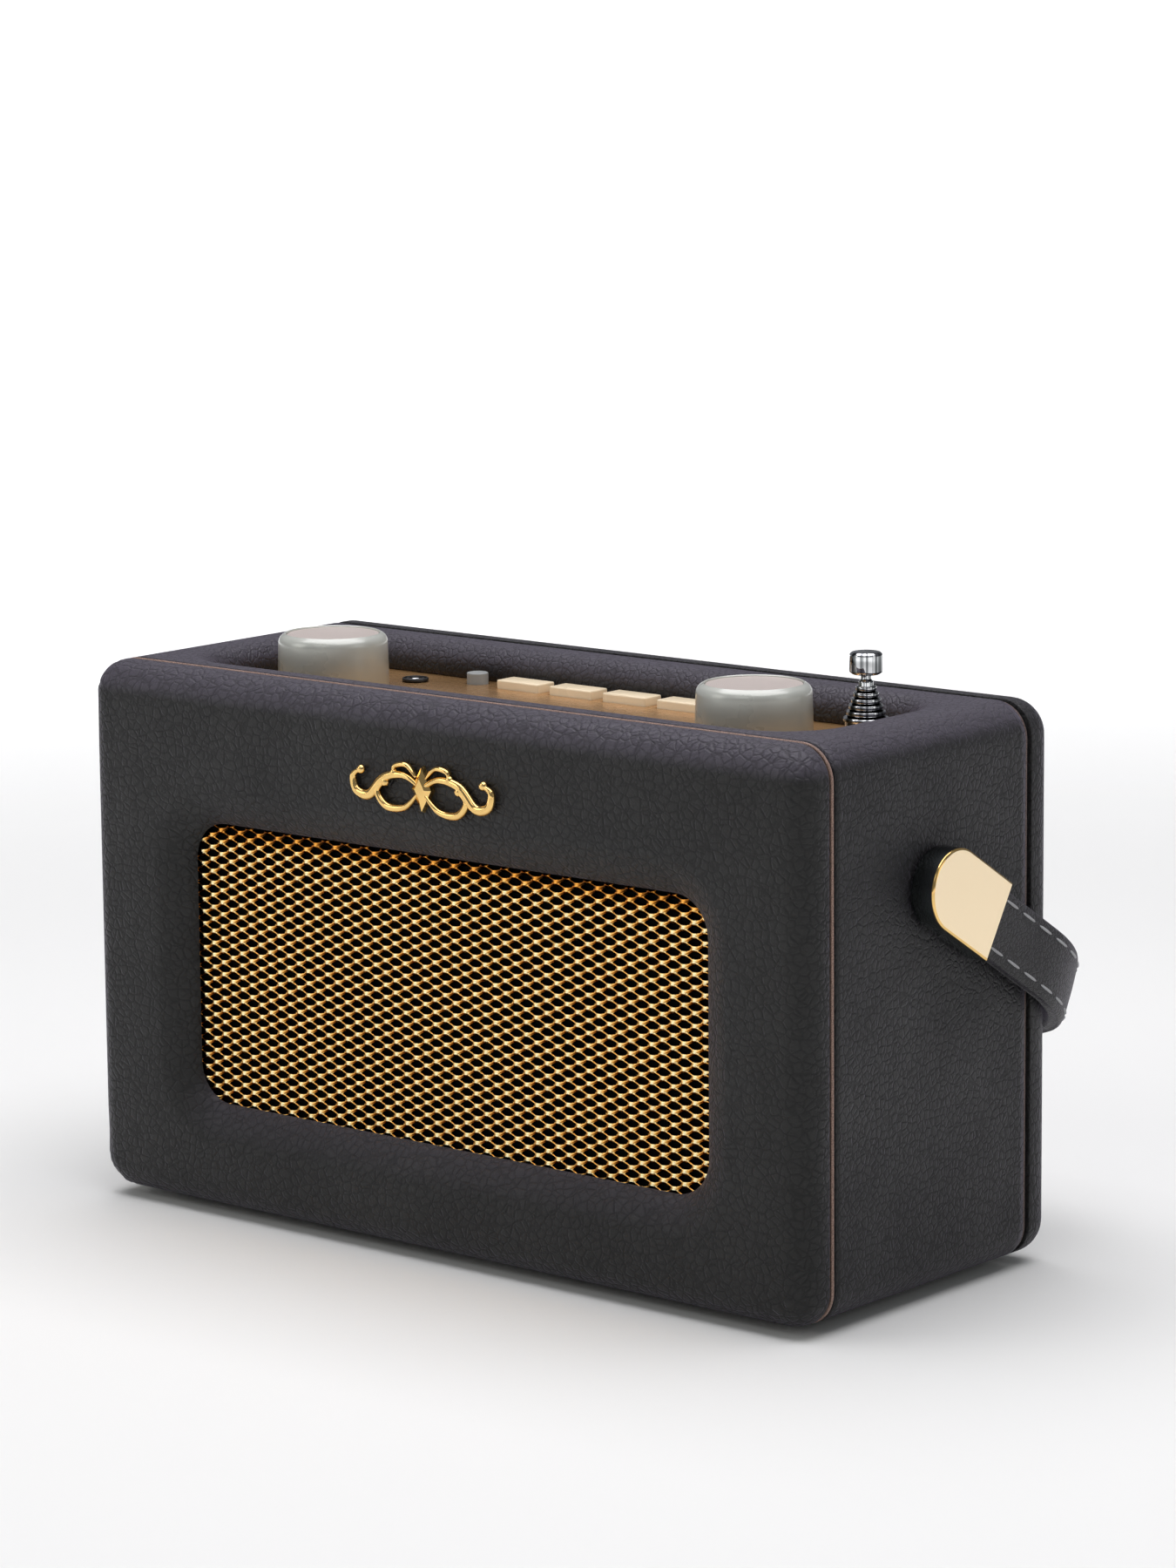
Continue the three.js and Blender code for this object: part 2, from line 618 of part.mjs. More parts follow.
function aerialTop(index) {
  return AERIAL_TOP + index * AERIAL_RISE;
}

// The innermost section, with the round tip that the fingers pull.
function aerialRod() {
  const radius = AERIAL_RADIUS - AERIAL_STEP * (AERIAL_TUBES + 1);
  const bottom = AERIAL_BOTTOM + 5;
  const neck = aerialTop(AERIAL_TUBES) + 1.2;
  const tipRadius = 3.6;
  const tipBottom = neck + 1.3;
  const tipTop = neck + 6.2;
  return turned([
    [0, bottom], [radius, bottom], [radius, neck], [1.1, neck + 0.3], [1.1, tipBottom],
    [tipRadius - 0.5, tipBottom], [tipRadius, tipBottom + 0.5], [tipRadius, tipTop - 0.4],
    [tipRadius - 0.4, tipTop], [0, tipTop],
  ], 12).translate(AERIAL_X, AERIAL_Y, 0);
}

function aerialBracket() {
  const block = box(AERIAL_X - 8, WIDTH / 2 - SKIN - GAP, AERIAL_Y - 8, AERIAL_Y + 8, 44, 56);
  return cut(block, post(AERIAL_X, AERIAL_Y, 30, 70, AERIAL_RADIUS + GAP));
}

// ---- Handle: drawn with the pivot at the origin, Y along the strap and Z across it -----------

function handleCap(side) {
  const outline = new THREE.Shape();
  outline.moveTo(CAP_LENGTH, -CAP_RADIUS);
  outline.lineTo(CAP_LENGTH, CAP_RADIUS);
  outline.lineTo(0, CAP_RADIUS);
  outline.absarc(0, 0, CAP_RADIUS, Math.PI / 2, 1.5 * Math.PI);
  const body = alongX(softSlab(outline, CAP_OUTER - CAP_INNER, 0.35, 1), CAP_INNER);
  const strapInner = STRAP_OUTER - STRAP_THICKNESS;
  const half = STRAP_WIDTH / 2 + GAP;
  const slot = box(strapInner - GAP, STRAP_OUTER + GAP, STRAP_START - GAP, CAP_LENGTH + 1, -half, half);
  const bore = rodAlongX(CAP_INNER - 1, 109.2, 0, 0, BOLT_RADIUS + GAP);
  return cut(body, slot, bore).applyMatrix4(mirrored(side));
}

// Half a turn about the strap's direction takes a right-hand piece to the left side.
function mirrored(side) {
  return new THREE.Matrix4().makeRotationY(side > 0 ? 0 : Math.PI);
}

function strap() {
  const x = STRAP_OUTER;
  const straight = STRAP_REACH - STRAP_BEND;
  const inner = STRAP_BEND - STRAP_THICKNESS;
  const shape = new THREE.Shape();
  shape.moveTo(x, STRAP_START);
  shape.lineTo(x, straight);
  shape.absarc(x - STRAP_BEND, straight, STRAP_BEND, 0, Math.PI / 2);
  shape.lineTo(-x + STRAP_BEND, STRAP_REACH);
  shape.absarc(-x + STRAP_BEND, straight, STRAP_BEND, Math.PI / 2, Math.PI);
  shape.lineTo(-x, STRAP_START);
  shape.lineTo(-x + STRAP_THICKNESS, STRAP_START);
  shape.lineTo(-x + STRAP_THICKNESS, straight);
  shape.absarc(-x + STRAP_BEND, straight, inner, Math.PI, Math.PI / 2, true);
  shape.lineTo(x - STRAP_BEND, STRAP_REACH - STRAP_THICKNESS);
  shape.absarc(x - STRAP_BEND, straight, inner, Math.PI / 2, 0, true);
  shape.lineTo(x - STRAP_THICKNESS, STRAP_START);
  return softSlab(shape, STRAP_WIDTH, STRAP_EDGE, 1, 6).translate(0, 0, -STRAP_WIDTH / 2);
}

function pivotBolt(side) {
  const shank = rodAlongX(93, 108.6, 0, 0, BOLT_RADIUS);
  const head = rodAlongX(91, 94, 0, 0, 4.5);
  return join(shank, head).applyMatrix4(mirrored(side));
}

function pivotBush(side) {
  const inside = WIDTH / 2 - SKIN - GAP;
  const tube = rodAlongX(inside - 1, WIDTH / 2 + GAP, 0, 0, BUSH_RADIUS);
  const flange = rodAlongX(inside - 1.6, inside, 0, 0, 7);
  return cut(join(tube, flange), rodAlongX(80, 120, 0, 0, BOLT_RADIUS + GAP)).applyMatrix4(mirrored(side));
}

// ---- Battery bay ----------------------------------------------------------------------------

function batteryDoor() {
  const half = DOOR_THICKNESS / 2;
  const section = new THREE.Shape();
  section.moveTo(BACK_COVER_BACK, HINGE_Z);
  section.lineTo(BACK_COVER_BACK, DOOR_TOP);
  section.lineTo(BACK_COVER_BACK - DOOR_THICKNESS, DOOR_TOP);
  section.lineTo(BACK_COVER_BACK - DOOR_THICKNESS, HINGE_Z);
  section.absarc(HINGE_Y, HINGE_Z, half, Math.PI, 2 * Math.PI);
  const panel = alongX(slab(section, 2 * DOOR_HALF_WIDTH), -DOOR_HALF_WIDTH);
  const peg = rodAlongX(-DOOR_HALF_WIDTH - 2, DOOR_HALF_WIDTH + 2, HINGE_Y, HINGE_Z, 1, 12);
  return join(panel, peg);
}

function batteryTray() {
  const front = 58;
  const back = BACK_COVER_BACK - DOOR_THICKNESS - 2 * GAP;
  const wall = 1.5;
  const outer = box(-DOOR_HALF_WIDTH, DOOR_HALF_WIDTH, front, back, DOOR_BOTTOM, DOOR_TOP);
  const inner = box(-DOOR_HALF_WIDTH + wall, DOOR_HALF_WIDTH - wall, front + wall, back + 1,
    DOOR_BOTTOM + wall, DOOR_TOP - wall);
  return cut(outer, inner);
}

// Four cells in a shrink sleeve, two long and two high.
function batteryPack() {
  const radius = 7.2;
  const cells = [-1, 1].map((side) => rodAlongX(-51, 51, 68, 27 + side * radius, radius + 0.1, 20));
  const waist = box(-50.5, 50.5, 63.5, 72.5, 21, 33);
  return join(cells[0], cells[1], waist);
}

function dcSocket() {
  const body = rodAlongY(DC_X, DC_Z, 66, BACK_COVER_BACK - 1.2, 5, 20);
  const bore = rodAlongY(DC_X, DC_Z, 68, 100, 3.2, 16);
  return join(cut(body, bore), rodAlongY(DC_X, DC_Z, 67, BACK_COVER_BACK - 2, 1, 10));
}

// ---- Assembly -------------------------------------------------------------------------------

add('cabinet_shell', cabinetShell(), wood);
add('cabinet_wrap', cabinetWrap(), leather);
add('front_cover', frontCover(), leather);
add('front_piping', pipingRing(0.15, 0.6, 1), piping);
add('front_board', frontBoard(), wood);
add('badge', badge(), gold);
add('back_cover', backCover(), leather);
add('back_piping', pipingRing(0, SLEEVE_BACK + GAP + 0.9, 0.9), piping);
SCREW_PLACES.forEach(([name, x, z]) => add(name, backScrew(x, z), steel));

add('foot_front_left', foot(-88, 14), rubber);
add('foot_front_right', foot(88, 14), rubber);
add('foot_back_left', foot(-88, 58), rubber);
add('foot_back_right', foot(88, 58), rubber);

add('grille', grillePlate(GRILLE_FRONT, 1, 0), mesh);
add('grille_cloth', grillePlate(GRILLE_FRONT + 1 + GAP, 0.6, 0.5), cloth);
add('speaker_basket', speakerBasket(), steel);
add('speaker_cone', speakerCone(), paper);

add('control_panel', controlPanel(), brass);
add('panel_chassis', panelChassis(), blackPlastic);
add('display_window', displayWindow(), glass);
add('display_module', displayModule(), blackPlastic);
add('control_board', controlBoard(), board);
add('main_board', mainBoard(), board);

for (const [name, side] of [['volume', -1], ['tuning', 1]]) {
  const place = (geometry) => geometry.translate(side * KNOB_X, KNOB_Y, 0);
  add(`${name}_knob`, place(knob()), pearl);
  add(`${name}_knob_disc`, place(knobDisc()), pearl);
  add(`${name}_shaft`, place(knobShaft()), steel);
  add(`${name}_encoder`, place(encoder()), steel);
}

for (let i = 0; i < BUTTON_COUNT; i += 1) {
  add(`preset_button_${i + 1}`, presetButton(presetX(i)), ivory);
}
add('power_button', powerButton(), greyPlastic);
add('headphone_socket', headphoneSocket(), blackPlastic);

add('aerial_sleeve', aerialTube(AERIAL_RADIUS, AERIAL_BOTTOM, AERIAL_TOP, 0.4, 1), chrome);
for (let i = 1; i <= AERIAL_TUBES; i += 1) {
  const radius = AERIAL_RADIUS - AERIAL_STEP * i;
  add(`aerial_tube_${i}`, aerialTube(radius, AERIAL_BOTTOM + 1.5 + 0.5 * i, aerialTop(i), 0.2, 0), chrome);
}
add('aerial_rod', aerialRod(), chrome);
add('aerial_bracket', aerialBracket(), blackPlastic);

add('battery_door', batteryDoor(), blackPlastic);
add('battery_tray', batteryTray(), blackPlastic);
add('battery_pack', batteryPack(), wrapFilm);
add('dc_socket', dcSocket(), blackPlastic);

const handle = new THREE.Group();
handle.position.set(0, PIVOT_Y, PIVOT_Z);
handle.rotation.x = THREE.MathUtils.degToRad(HANDLE_ANGLE);
radio.add(handle);
add('handle_strap', strap(), leather, handle);
for (const [name, side] of [['left', -1], ['right', 1]]) {
  add(`handle_cap_${name}`, handleCap(side), gold, handle);
  add(`pivot_bolt_${name}`, pivotBolt(side), steel, handle);
  add(`pivot_bush_${name}`, pivotBush(side), steel, handle);
}

// The radio reaches from the badge's face to the upper far edge of the folded strap.
const fold = THREE.MathUtils.degToRad(-HANDLE_ANGLE);
const edge = STRAP_WIDTH / 2 - STRAP_EDGE;
const backLimit = PIVOT_Y + STRAP_REACH * Math.cos(fold) + edge * Math.sin(fold);
radio.position.set(0, -(BADGE_FRONT + backLimit) / 2, FOOT_HEIGHT);

export default radio;
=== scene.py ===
"""Looks for the leather portable radio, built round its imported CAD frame.

The CAD model is drawn in the cabinet's own coordinates, in millimetres: X to the right, Y = 0 at
the front seam and growing towards the back, Z = 0 at the underside of the cabinet. at() turns such
a point into the frame's metres, so that a size here is the size that the radio was drawn with.
"""

import json
import math

import bmesh
import bpy
from mathutils import Matrix, Vector, noise


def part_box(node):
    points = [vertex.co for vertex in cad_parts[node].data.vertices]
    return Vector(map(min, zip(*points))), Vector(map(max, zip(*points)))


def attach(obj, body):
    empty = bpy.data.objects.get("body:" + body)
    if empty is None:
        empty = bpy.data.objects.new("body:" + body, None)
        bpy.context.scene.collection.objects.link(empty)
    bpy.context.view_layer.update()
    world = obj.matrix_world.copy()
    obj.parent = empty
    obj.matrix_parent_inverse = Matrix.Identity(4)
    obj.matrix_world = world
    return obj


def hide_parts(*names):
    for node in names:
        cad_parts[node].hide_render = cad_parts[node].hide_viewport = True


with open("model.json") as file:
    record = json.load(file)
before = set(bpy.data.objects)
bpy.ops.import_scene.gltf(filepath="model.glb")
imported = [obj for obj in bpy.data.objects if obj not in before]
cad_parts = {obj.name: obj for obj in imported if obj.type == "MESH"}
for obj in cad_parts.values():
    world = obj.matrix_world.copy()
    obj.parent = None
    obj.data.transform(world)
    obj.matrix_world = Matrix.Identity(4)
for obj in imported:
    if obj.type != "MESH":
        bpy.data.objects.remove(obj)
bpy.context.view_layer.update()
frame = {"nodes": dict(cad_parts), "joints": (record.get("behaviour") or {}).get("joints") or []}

MM = 0.001

# ---- The cabinet's coordinates ----

SLEEVE_FRONT = 1.0
wrap_low, wrap_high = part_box("cabinet_wrap")
ORIGIN = Vector((0, wrap_low.y - SLEEVE_FRONT * MM, wrap_low.z))
WIDTH = (wrap_high.x - wrap_low.x) / MM
HEIGHT = (wrap_high.z - wrap_low.z) / MM
SLEEVE_BACK = (wrap_high.y - ORIGIN.y) / MM
CORNER = 8.0  # radius of the cabinet's four long edges


def at(x, y, z):
    """A point in the cabinet's millimetres as a point of the frame, in metres."""
    return ORIGIN + Vector((x, y, z)) * MM


def span(node):
    """Lowest and highest corner of a CAD node in the cabinet's millimetres."""
    low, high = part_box(node)
    return (low - ORIGIN) / MM, (high - ORIGIN) / MM


def centre(node):
    low, high = span(node)
    return (low + high) / 2


def round_span(node):
    """Middle, radius, lowest and highest corner of a round CAD node."""
    low, high = span(node)
    return centre(node), (high.x - low.x) / 2, low, high


def add_object(name, data):
    made = bpy.data.objects.new(name, data)
    bpy.context.scene.collection.objects.link(made)
    return made


# ---- Camera ----

CAMERA_PLACE = (750.9, -843.1, 305.3)
CAMERA_AZIMUTH = math.radians(40.185)
CAMERA_ELEVATION = math.radians(10.062)
CAMERA_ROLL = math.radians(-0.526)
CAMERA_LENS = 119.8


def make_camera():
    data = bpy.data.cameras.new("camera")
    data.lens = CAMERA_LENS
    data.sensor_width = 36
    data.clip_end = 200
    camera = add_object("camera", data)
    a, e, r = CAMERA_AZIMUTH, CAMERA_ELEVATION, CAMERA_ROLL
    right = Vector((math.cos(a), math.sin(a), 0))
    back = Vector((math.sin(a) * math.cos(e), -math.cos(a) * math.cos(e), math.sin(e)))
    up = back.cross(right)
    rolled_right = right * math.cos(r) + up * math.sin(r)
    rolled_up = up * math.cos(r) - right * math.sin(r)
    turn = Matrix((rolled_right, rolled_up, back)).transposed().to_4x4()
    camera.matrix_world = Matrix.Translation(at(*CAMERA_PLACE)) @ turn
    bpy.context.scene.camera = camera


# ---- Materials ----

class Shader:
    """A Principled material, with short ways to add and wire nodes."""

    def __init__(self, name, color, roughness, metallic=0.0):
        self.material = bpy.data.materials.new(name)
        self.material.use_nodes = True
        self.tree = self.material.node_tree
        self.bsdf = self.tree.nodes["Principled BSDF"]
        self.set("Base Color", (*color, 1))
        self.set("Roughness", roughness)
        self.set("Metallic", metallic)
        self.coords = self.node("ShaderNodeTexCoord").outputs["Object"]

    def set(self, socket, value):
        self.bsdf.inputs[socket].default_value = value

    def node(self, kind, inputs=None, **settings):
        made = self.tree.nodes.new(kind)
        for key, value in settings.items():
            setattr(made, key, value)
        for key, value in (inputs or {}).items():
            if isinstance(value, bpy.types.NodeSocket):
                self.tree.links.new(value, made.inputs[key])
            else:
                made.inputs[key].default_value = value
        return made

    def wire(self, output, socket):
        self.tree.links.new(output, self.bsdf.inputs[socket])

    def noise(self, scale, detail=3, vector=None):
        return self.node("ShaderNodeTexNoise", {
            "Vector": vector or self.coords, "Scale": scale, "Detail": detail, "Roughness": 0.55,
        }).outputs["Fac"]

    def cells(self, scale, vector):
        """Distance to the nearest edge between cells."""
        return self.node("ShaderNodeTexVoronoi", {"Vector": vector, "Scale": scale},
                         feature="DISTANCE_TO_EDGE").outputs["Distance"]

    def remap(self, value, low, high, to_low, to_high, kind="LINEAR"):
        return self.node("ShaderNodeMapRange", {
            "Value": value, "From Min": low, "From Max": high, "To Min": to_low, "To Max": to_high,
        }, interpolation_type=kind).outputs["Result"]

    def smooth(self, value, low, high, top=1):
        """A soft rise from 0 to top as the value goes from low to high."""
        return self.remap(value, low, high, 0, top, "SMOOTHSTEP")

    def math(self, operation, a, b):
        return self.node("ShaderNodeMath", {0: a, 1: b}, operation=operation).outputs["Value"]

    def vector_math(self, operation, inputs, output="Vector"):
        return self.node("ShaderNodeVectorMath", inputs, operation=operation).outputs[output]

    def ramp(self, value, *stops):
        node = self.node("ShaderNodeValToRGB", {"Fac": value})
        elements = node.color_ramp.elements
        while len(elements) < len(stops):
            elements.new(0.5)
        for element, (place, color) in zip(elements, stops):
            element.position = place
            element.color = (*color, 1)
        return node.outputs["Color"]

    def axis(self, vector, letter):
        return self.node("ShaderNodeSeparateXYZ", {"Vector": vector}).outputs[letter]

    def mixed(self, factor, first, second):
        """A blend of two colours."""
        node = self.tree.nodes.new("ShaderNodeMix")
        node.data_type = "RGBA"
        colors = [socket for socket in node.inputs if socket.type == "RGBA"]
        for value, socket in zip((factor, first, second), (node.inputs["Factor"], *colors)):
            self.tree.links.new(value, socket)
        return next(socket for socket in node.outputs if socket.type == "RGBA")

    def scaled(self, scale):
        inputs = {"Vector": self.coords, "Scale": scale}
        return self.node("ShaderNodeMapping", inputs).outputs["Vector"]

    def warped(self, vector, scale, amount):
        """The coordinates pushed about by soft noise, so that a pattern on them loses its order."""
        push = self.node("ShaderNodeTexNoise", {"Vector": vector, "Scale": scale, "Detail": 1})
        centred = self.vector_math("SUBTRACT", {0: push.outputs["Color"], 1: (0.5, 0.5, 0.5)})
        pushed = self.vector_math("SCALE", {0: centred, "Scale": amount})
        return self.vector_math("ADD", {0: vector, 1: pushed})

    def bump(self, height, distance, strength=1.0):
        inputs = {"Height": height, "Distance": distance, "Strength": strength}
        self.wire(self.node("ShaderNodeBump", inputs).outputs["Normal"], "Normal")


def shade(color, factor):
    return tuple(c * factor for c in color)


PAINTED_LIGHT_RISE = 3.5  # the painted light on the leather's top comes in over this height


def leather(name, color, cell, stretch, depth, roughness=0.46, painted_light_from=None):
    """Pebbled leather: cells parted by creases, finer cells on them, and slow changes of sheen. Its
    colour has painted shade in the creases and painted highlights on the pebble tops.

    The last argument is a height in the cabinet's millimetres. Above it, and wherever it faces up,
    the leather is painted a little paler and more violet: painted light from above.
    """
    s = Shader(name, color, roughness)
    s.set("Specular IOR Level", 0.42)
    s.set("Sheen Weight", 0.14)
    s.set("Sheen Roughness", 0.35)
    s.set("Sheen Tint", (0.84, 0.74, 1.0, 1))
    size = cell * MM
    place = s.warped(s.scaled(stretch), 0.3 / size, 0.7 * size)
    pebble = s.smooth(s.cells(1 / size, place), 0, 0.2)
    small = s.smooth(s.cells(2.1 / size, place), 0, 0.26)
    fold = s.smooth(s.cells(0.4 / size, place), 0, 0.06)
    pores = s.noise(5 / size, 1)
    height = s.math("MULTIPLY", pebble, 0.62)
    for layer, share in ((small, 0.16), (fold, 0.2), (pores, 0.05)):
        height = s.math("ADD", height, s.math("MULTIPLY", layer, share))
    s.bump(height, depth * MM)
    # Painted shade and highlight: the creases are painted darker and the pebble tops lighter.
    tone = s.ramp(height, (0.2, shade(color, 0.5)), (0.7, color), (1.0, shade(color, 1.15)))
    # Painted light: above the given height, and where it faces up, the leather is painted paler and
    # more violet.
    if painted_light_from is not None:
        painted_top_light = s.ramp(height, (0.2, (0.03, 0.0265, 0.0345)), (0.75, (0.05, 0.0445, 0.058)))
        bottom = at(0, 0, painted_light_from).z
        high = s.smooth(s.axis(s.coords, "Z"), bottom, bottom + PAINTED_LIGHT_RISE * MM)
        normal = s.node("ShaderNodeTexCoord").outputs["Normal"]
        upward = s.smooth(s.axis(normal, "Z"), 0.15, 0.85, 0.65)
        tone = s.mixed(s.math("MAXIMUM", high, upward), tone, painted_top_light)
    s.wire(tone, "Base Color")
    worn = s.math("ADD", s.noise(28, 4), s.math("MULTIPLY", height, -0.3))
    s.wire(s.remap(worn, 0.0, 0.55, roughness - 0.04, roughness + 0.2), "Roughness")
    return s.material


def metal(name, color, roughness, scratch=0.05, scale=(1, 1, 1), metallic=1.0):
    """Polished or satin metal with faint drawn marks and uneven polish."""
    s = Shader(name, color, roughness, metallic)
    marks = s.noise(900, 3, s.scaled(scale))
    smear = s.noise(45, 3)
    uneven = s.math("ADD", marks, smear)
    s.wire(s.remap(uneven, 0.6, 1.4, roughness * 0.7, roughness * 1.35), "Roughness")
    s.bump(marks, scratch * 0.1 * MM, 0.5)
    return s.material


def mesh_metal(name):
    """Gilt expanded metal with painted light: bright along the lips that lean forward, painted dark
    bronze shade behind them, and painted shadow over the top rows.
    """
    s = Shader(name, (0.9, 0.56, 0.22), 0.22, 1.0)
    # Painted highlight and shade: the metal is coloured brighter where it stands forward and
    # darker, to near black, further back.
    painted_depth_light = s.remap(s.axis(s.coords, "Y"), -0.6 * MM, 0.5 * MM, 0, 1)
    # Painted shadow: the top rows, under the cover's lip, are darkened.
    painted_lip_shadow = s.smooth(s.axis(s.coords, "Z"), 27 * MM, 32 * MM, 0.3)
    gilt_with_painted_light = s.ramp(s.math("ADD", painted_depth_light, painted_lip_shadow), (0.0, (1.0, 0.9, 0.58)), (0.15, (1.0, 0.68, 0.23)),
                  (0.3, (0.95, 0.41, 0.065)), (0.48, (0.34, 0.115, 0.014)),
                  (0.75, (0.03, 0.012, 0.002)))
    s.wire(gilt_with_painted_light, "Base Color")
    s.bump(s.noise(2200, 2), 0.01 * MM, 0.5)
    s.wire(s.remap(s.noise(300, 2), 0.3, 0.7, 0.16, 0.3), "Roughness")
    return s.material


def chrome(name):
    """Chrome with painted reflections: dark and bright upright bands about the axis of the piece.
    """
    s = Shader(name, (0.6, 0.61, 0.63), 0.04, 1.0)
    # Painted reflection: dark and bright bands are painted round the axis, as a dark studio would
    # reflect.
    painted_reflection_bands = s.noise(2.2, 2, s.vector_math("NORMALIZE", {0: s.scaled((1, 1, 0))}))
    s.wire(s.ramp(painted_reflection_bands, (0.4, (0.05, 0.055, 0.055)), (0.47, (0.3, 0.31, 0.32)),
                  (0.53, (0.78, 0.79, 0.8))), "Base Color")
    s.wire(s.remap(s.noise(400, 2), 0.3, 0.7, 0.03, 0.08), "Roughness")
    return s.material


def plastic(name, color, roughness, grain=0.02, fine=1800, coat=0.0, metallic=0.0):
    s = Shader(name, color, roughness, metallic)
    s.set("Coat Weight", coat)
    s.set("Coat Roughness", 0.12)
    speckle = s.noise(fine, 2)
    s.bump(speckle, grain * MM, 0.6)
    s.wire(s.remap(s.noise(70, 3), 0.3, 0.7, roughness * 0.85, roughness * 1.15), "Roughness")
    s.wire(s.ramp(s.noise(120, 2), (0.3, shade(color, 0.94)), (0.7, color)), "Base Color")
    return s.material


def spun_disc(name, color):
    """A disc with the rings that a lathe tool leaves, for a piece whose origin is on its axis."""
    s = Shader(name, color, 0.34, 0.25)
    radius = s.vector_math("LENGTH", {0: s.scaled((1, 1, 0))}, "Value")
    rings = s.math("SINE", s.math("MULTIPLY", radius, 2 * math.pi / (0.42 * MM)), 0)
    uneven = s.math("MULTIPLY", rings, s.noise(300, 2))
    s.bump(uneven, 0.012 * MM, 0.5)
    s.wire(s.remap(uneven, -0.5, 0.5, 0.28, 0.42), "Roughness")
    return s.material


def wood(name):
    s = Shader(name, (0.45, 0.3, 0.17), 0.7)
    along = s.warped(s.scaled((6, 6, 0.5)), 60, 0.01)
    rings = s.noise(90, 5, along)
    s.wire(s.ramp(rings, (0.3, (0.3, 0.18, 0.09)), (0.7, (0.55, 0.38, 0.22))), "Base Color")
    s.bump(rings, 0.1 * MM, 0.4)
    return s.material


def cloth(name):
    """Black acoustic cloth: a fine plain weave."""
    s = Shader(name, (0.004, 0.004, 0.004), 0.95)
    s.set("Specular IOR Level", 0.1)
    threads = {"Vector": s.coords, "Scale": 520.0}
    waves = [s.node("ShaderNodeTexWave", threads, bands_direction=axis) for axis in "XZ"]
    weave = s.math("MULTIPLY", *(wave.outputs["Fac"] for wave in waves))
    s.bump(weave, 0.08 * MM, 0.8)
    s.wire(s.ramp(weave, (0.1, (0.001, 0.001, 0.001)), (0.9, (0.005, 0.0045, 0.004))), "Base Color")
    return s.material


def circuit_board(name):
    s = Shader(name, (0.02, 0.14, 0.06), 0.4)
    tracks = s.node("ShaderNodeTexBrick", {
        "Vector": s.coords, "Scale": 260.0, "Mortar Size": 0.03, "Mortar": (0.06, 0.26, 0.11, 1),
        "Color1": (0.02, 0.13, 0.055, 1), "Color2": (0.03, 0.17, 0.075, 1),
    })
    s.wire(tracks.outputs["Color"], "Base Color")
    s.bump(s.noise(500, 2), 0.03 * MM, 0.5)
    return s.material


def make_materials():
    even = (1, 1, 1)
    return {
        "cover": leather("leather_cover", (0.0072, 0.0072, 0.0066), 1.9, (0.85, 1, 1), 0.24,
                         painted_light_from=117),
        "sleeve": leather("leather_sleeve", (0.0062, 0.0062, 0.0059), 1.6, (1, 1, 0.9), 0.18,
                          painted_light_from=118.5),
        "back": leather("leather_back", (0.009, 0.009, 0.0092), 1.5, (1, 1, 0.7), 0.17),
        "strap": leather("leather_strap", (0.012, 0.012, 0.0118), 1.1, even, 0.13, 0.44),
        "piping": leather("leather_piping", (0.31, 0.2, 0.155), 0.5, even, 0.03, 0.36),
        # Painted shade: a darker copy of the tan piping, for the back cord that sits deep in its
        # seam.
        "piping_painted_shade": leather("leather_piping_dark", (0.13, 0.085, 0.07), 0.5, even, 0.03, 0.4),
        "gold": metal("gold_polished", (1.0, 0.82, 0.565), 0.16),
        "gold_bright": metal("gold_bright", (0.9, 0.6, 0.22), 0.14),
        # Painted reflection: the caps' plating is made dark on their sides, for the dark
        # surroundings that they mirror.
        "cap_side": metal("plating_painted_dark_reflection", (0.17, 0.19, 0.19), 0.07, 0.02),
        "grille": mesh_metal("gold_mesh"),
        "brass": metal("brass_satin", (0.56, 0.33, 0.145), 0.27, 0.03, (0.15, 4, 4), 0.75),
        "pearl": plastic("lacquer_champagne", (0.53, 0.545, 0.49), 0.3, 0.006, 2600, 0.5, 0.15),
        "disc": spun_disc("disc_spun", (0.64, 0.56, 0.51)),
        "ivory": plastic("plastic_ivory", (0.93, 0.78, 0.54), 0.32, 0.004, 2200, 0.2),
        "grey": plastic("plastic_grey", (0.31, 0.325, 0.315), 0.4, 0.006),
        "black": plastic("plastic_black", (0.014, 0.014, 0.014), 0.42, 0.02),
        "rubber": plastic("rubber_black", (0.012, 0.012, 0.012), 0.85, 0.05, 900),
        "glass": plastic("display_glass", (0.006, 0.007, 0.009), 0.05, 0.0, 1500, 1.0),
        "chrome": chrome("chrome_bright"),
        "steel": metal("steel_plated", (0.52, 0.52, 0.53), 0.32, 0.2, (1, 1, 6)),
        "thread": plastic("thread_grey", (0.36, 0.36, 0.37), 0.7, 0.05, 3000),
        "wood": wood("board_plain"),
        "cloth": cloth("cloth_acoustic"),
        "paper": plastic("cone_pulp", (0.02, 0.019, 0.018), 0.9, 0.12, 700),
        "board": circuit_board("board_green"),
        "film": plastic("film_blue", (0.02, 0.09, 0.24), 0.25, 0.02, 400, 0.3),
    }


# ---- Mesh helpers ----

def mesh_object(name, points, faces, material, origin=Vector(), angle=40):
    """An object from points in the cabinet's millimetres, shaded smooth below the given angle."""
    shift = at(*origin) if origin.length else Vector()
    mesh = bpy.data.meshes.new(name)
    mesh.from_pydata([at(*p) - shift for p in points], [], faces)
    mesh.materials.append(material)
    made = add_object(name, mesh)
    made.location = shift
    clean(mesh)
    mesh.shade_smooth()
    mesh.set_sharp_from_angle(angle=math.radians(angle))
    return made


def clean(mesh):
    """Merges double points and turns the faces of a closed mesh outwards."""
    work = bmesh.new()
    work.from_mesh(mesh)
    bmesh.ops.remove_doubles(work, verts=work.verts, dist=0.01 * MM)
    bmesh.ops.recalc_face_normals(work, faces=work.faces)
    work.to_mesh(mesh)
    work.free()


def applied(thing):
    """The object with its modifiers made part of its mesh."""
    graph = bpy.context.evaluated_depsgraph_get()
    result = bpy.data.meshes.new_from_object(thing.evaluated_get(graph))
    thing.modifiers.clear()
    thing.data = result
    return thing


CORNER_STEPS, LONG_STEPS, SHORT_STEPS = 12, 36, 20


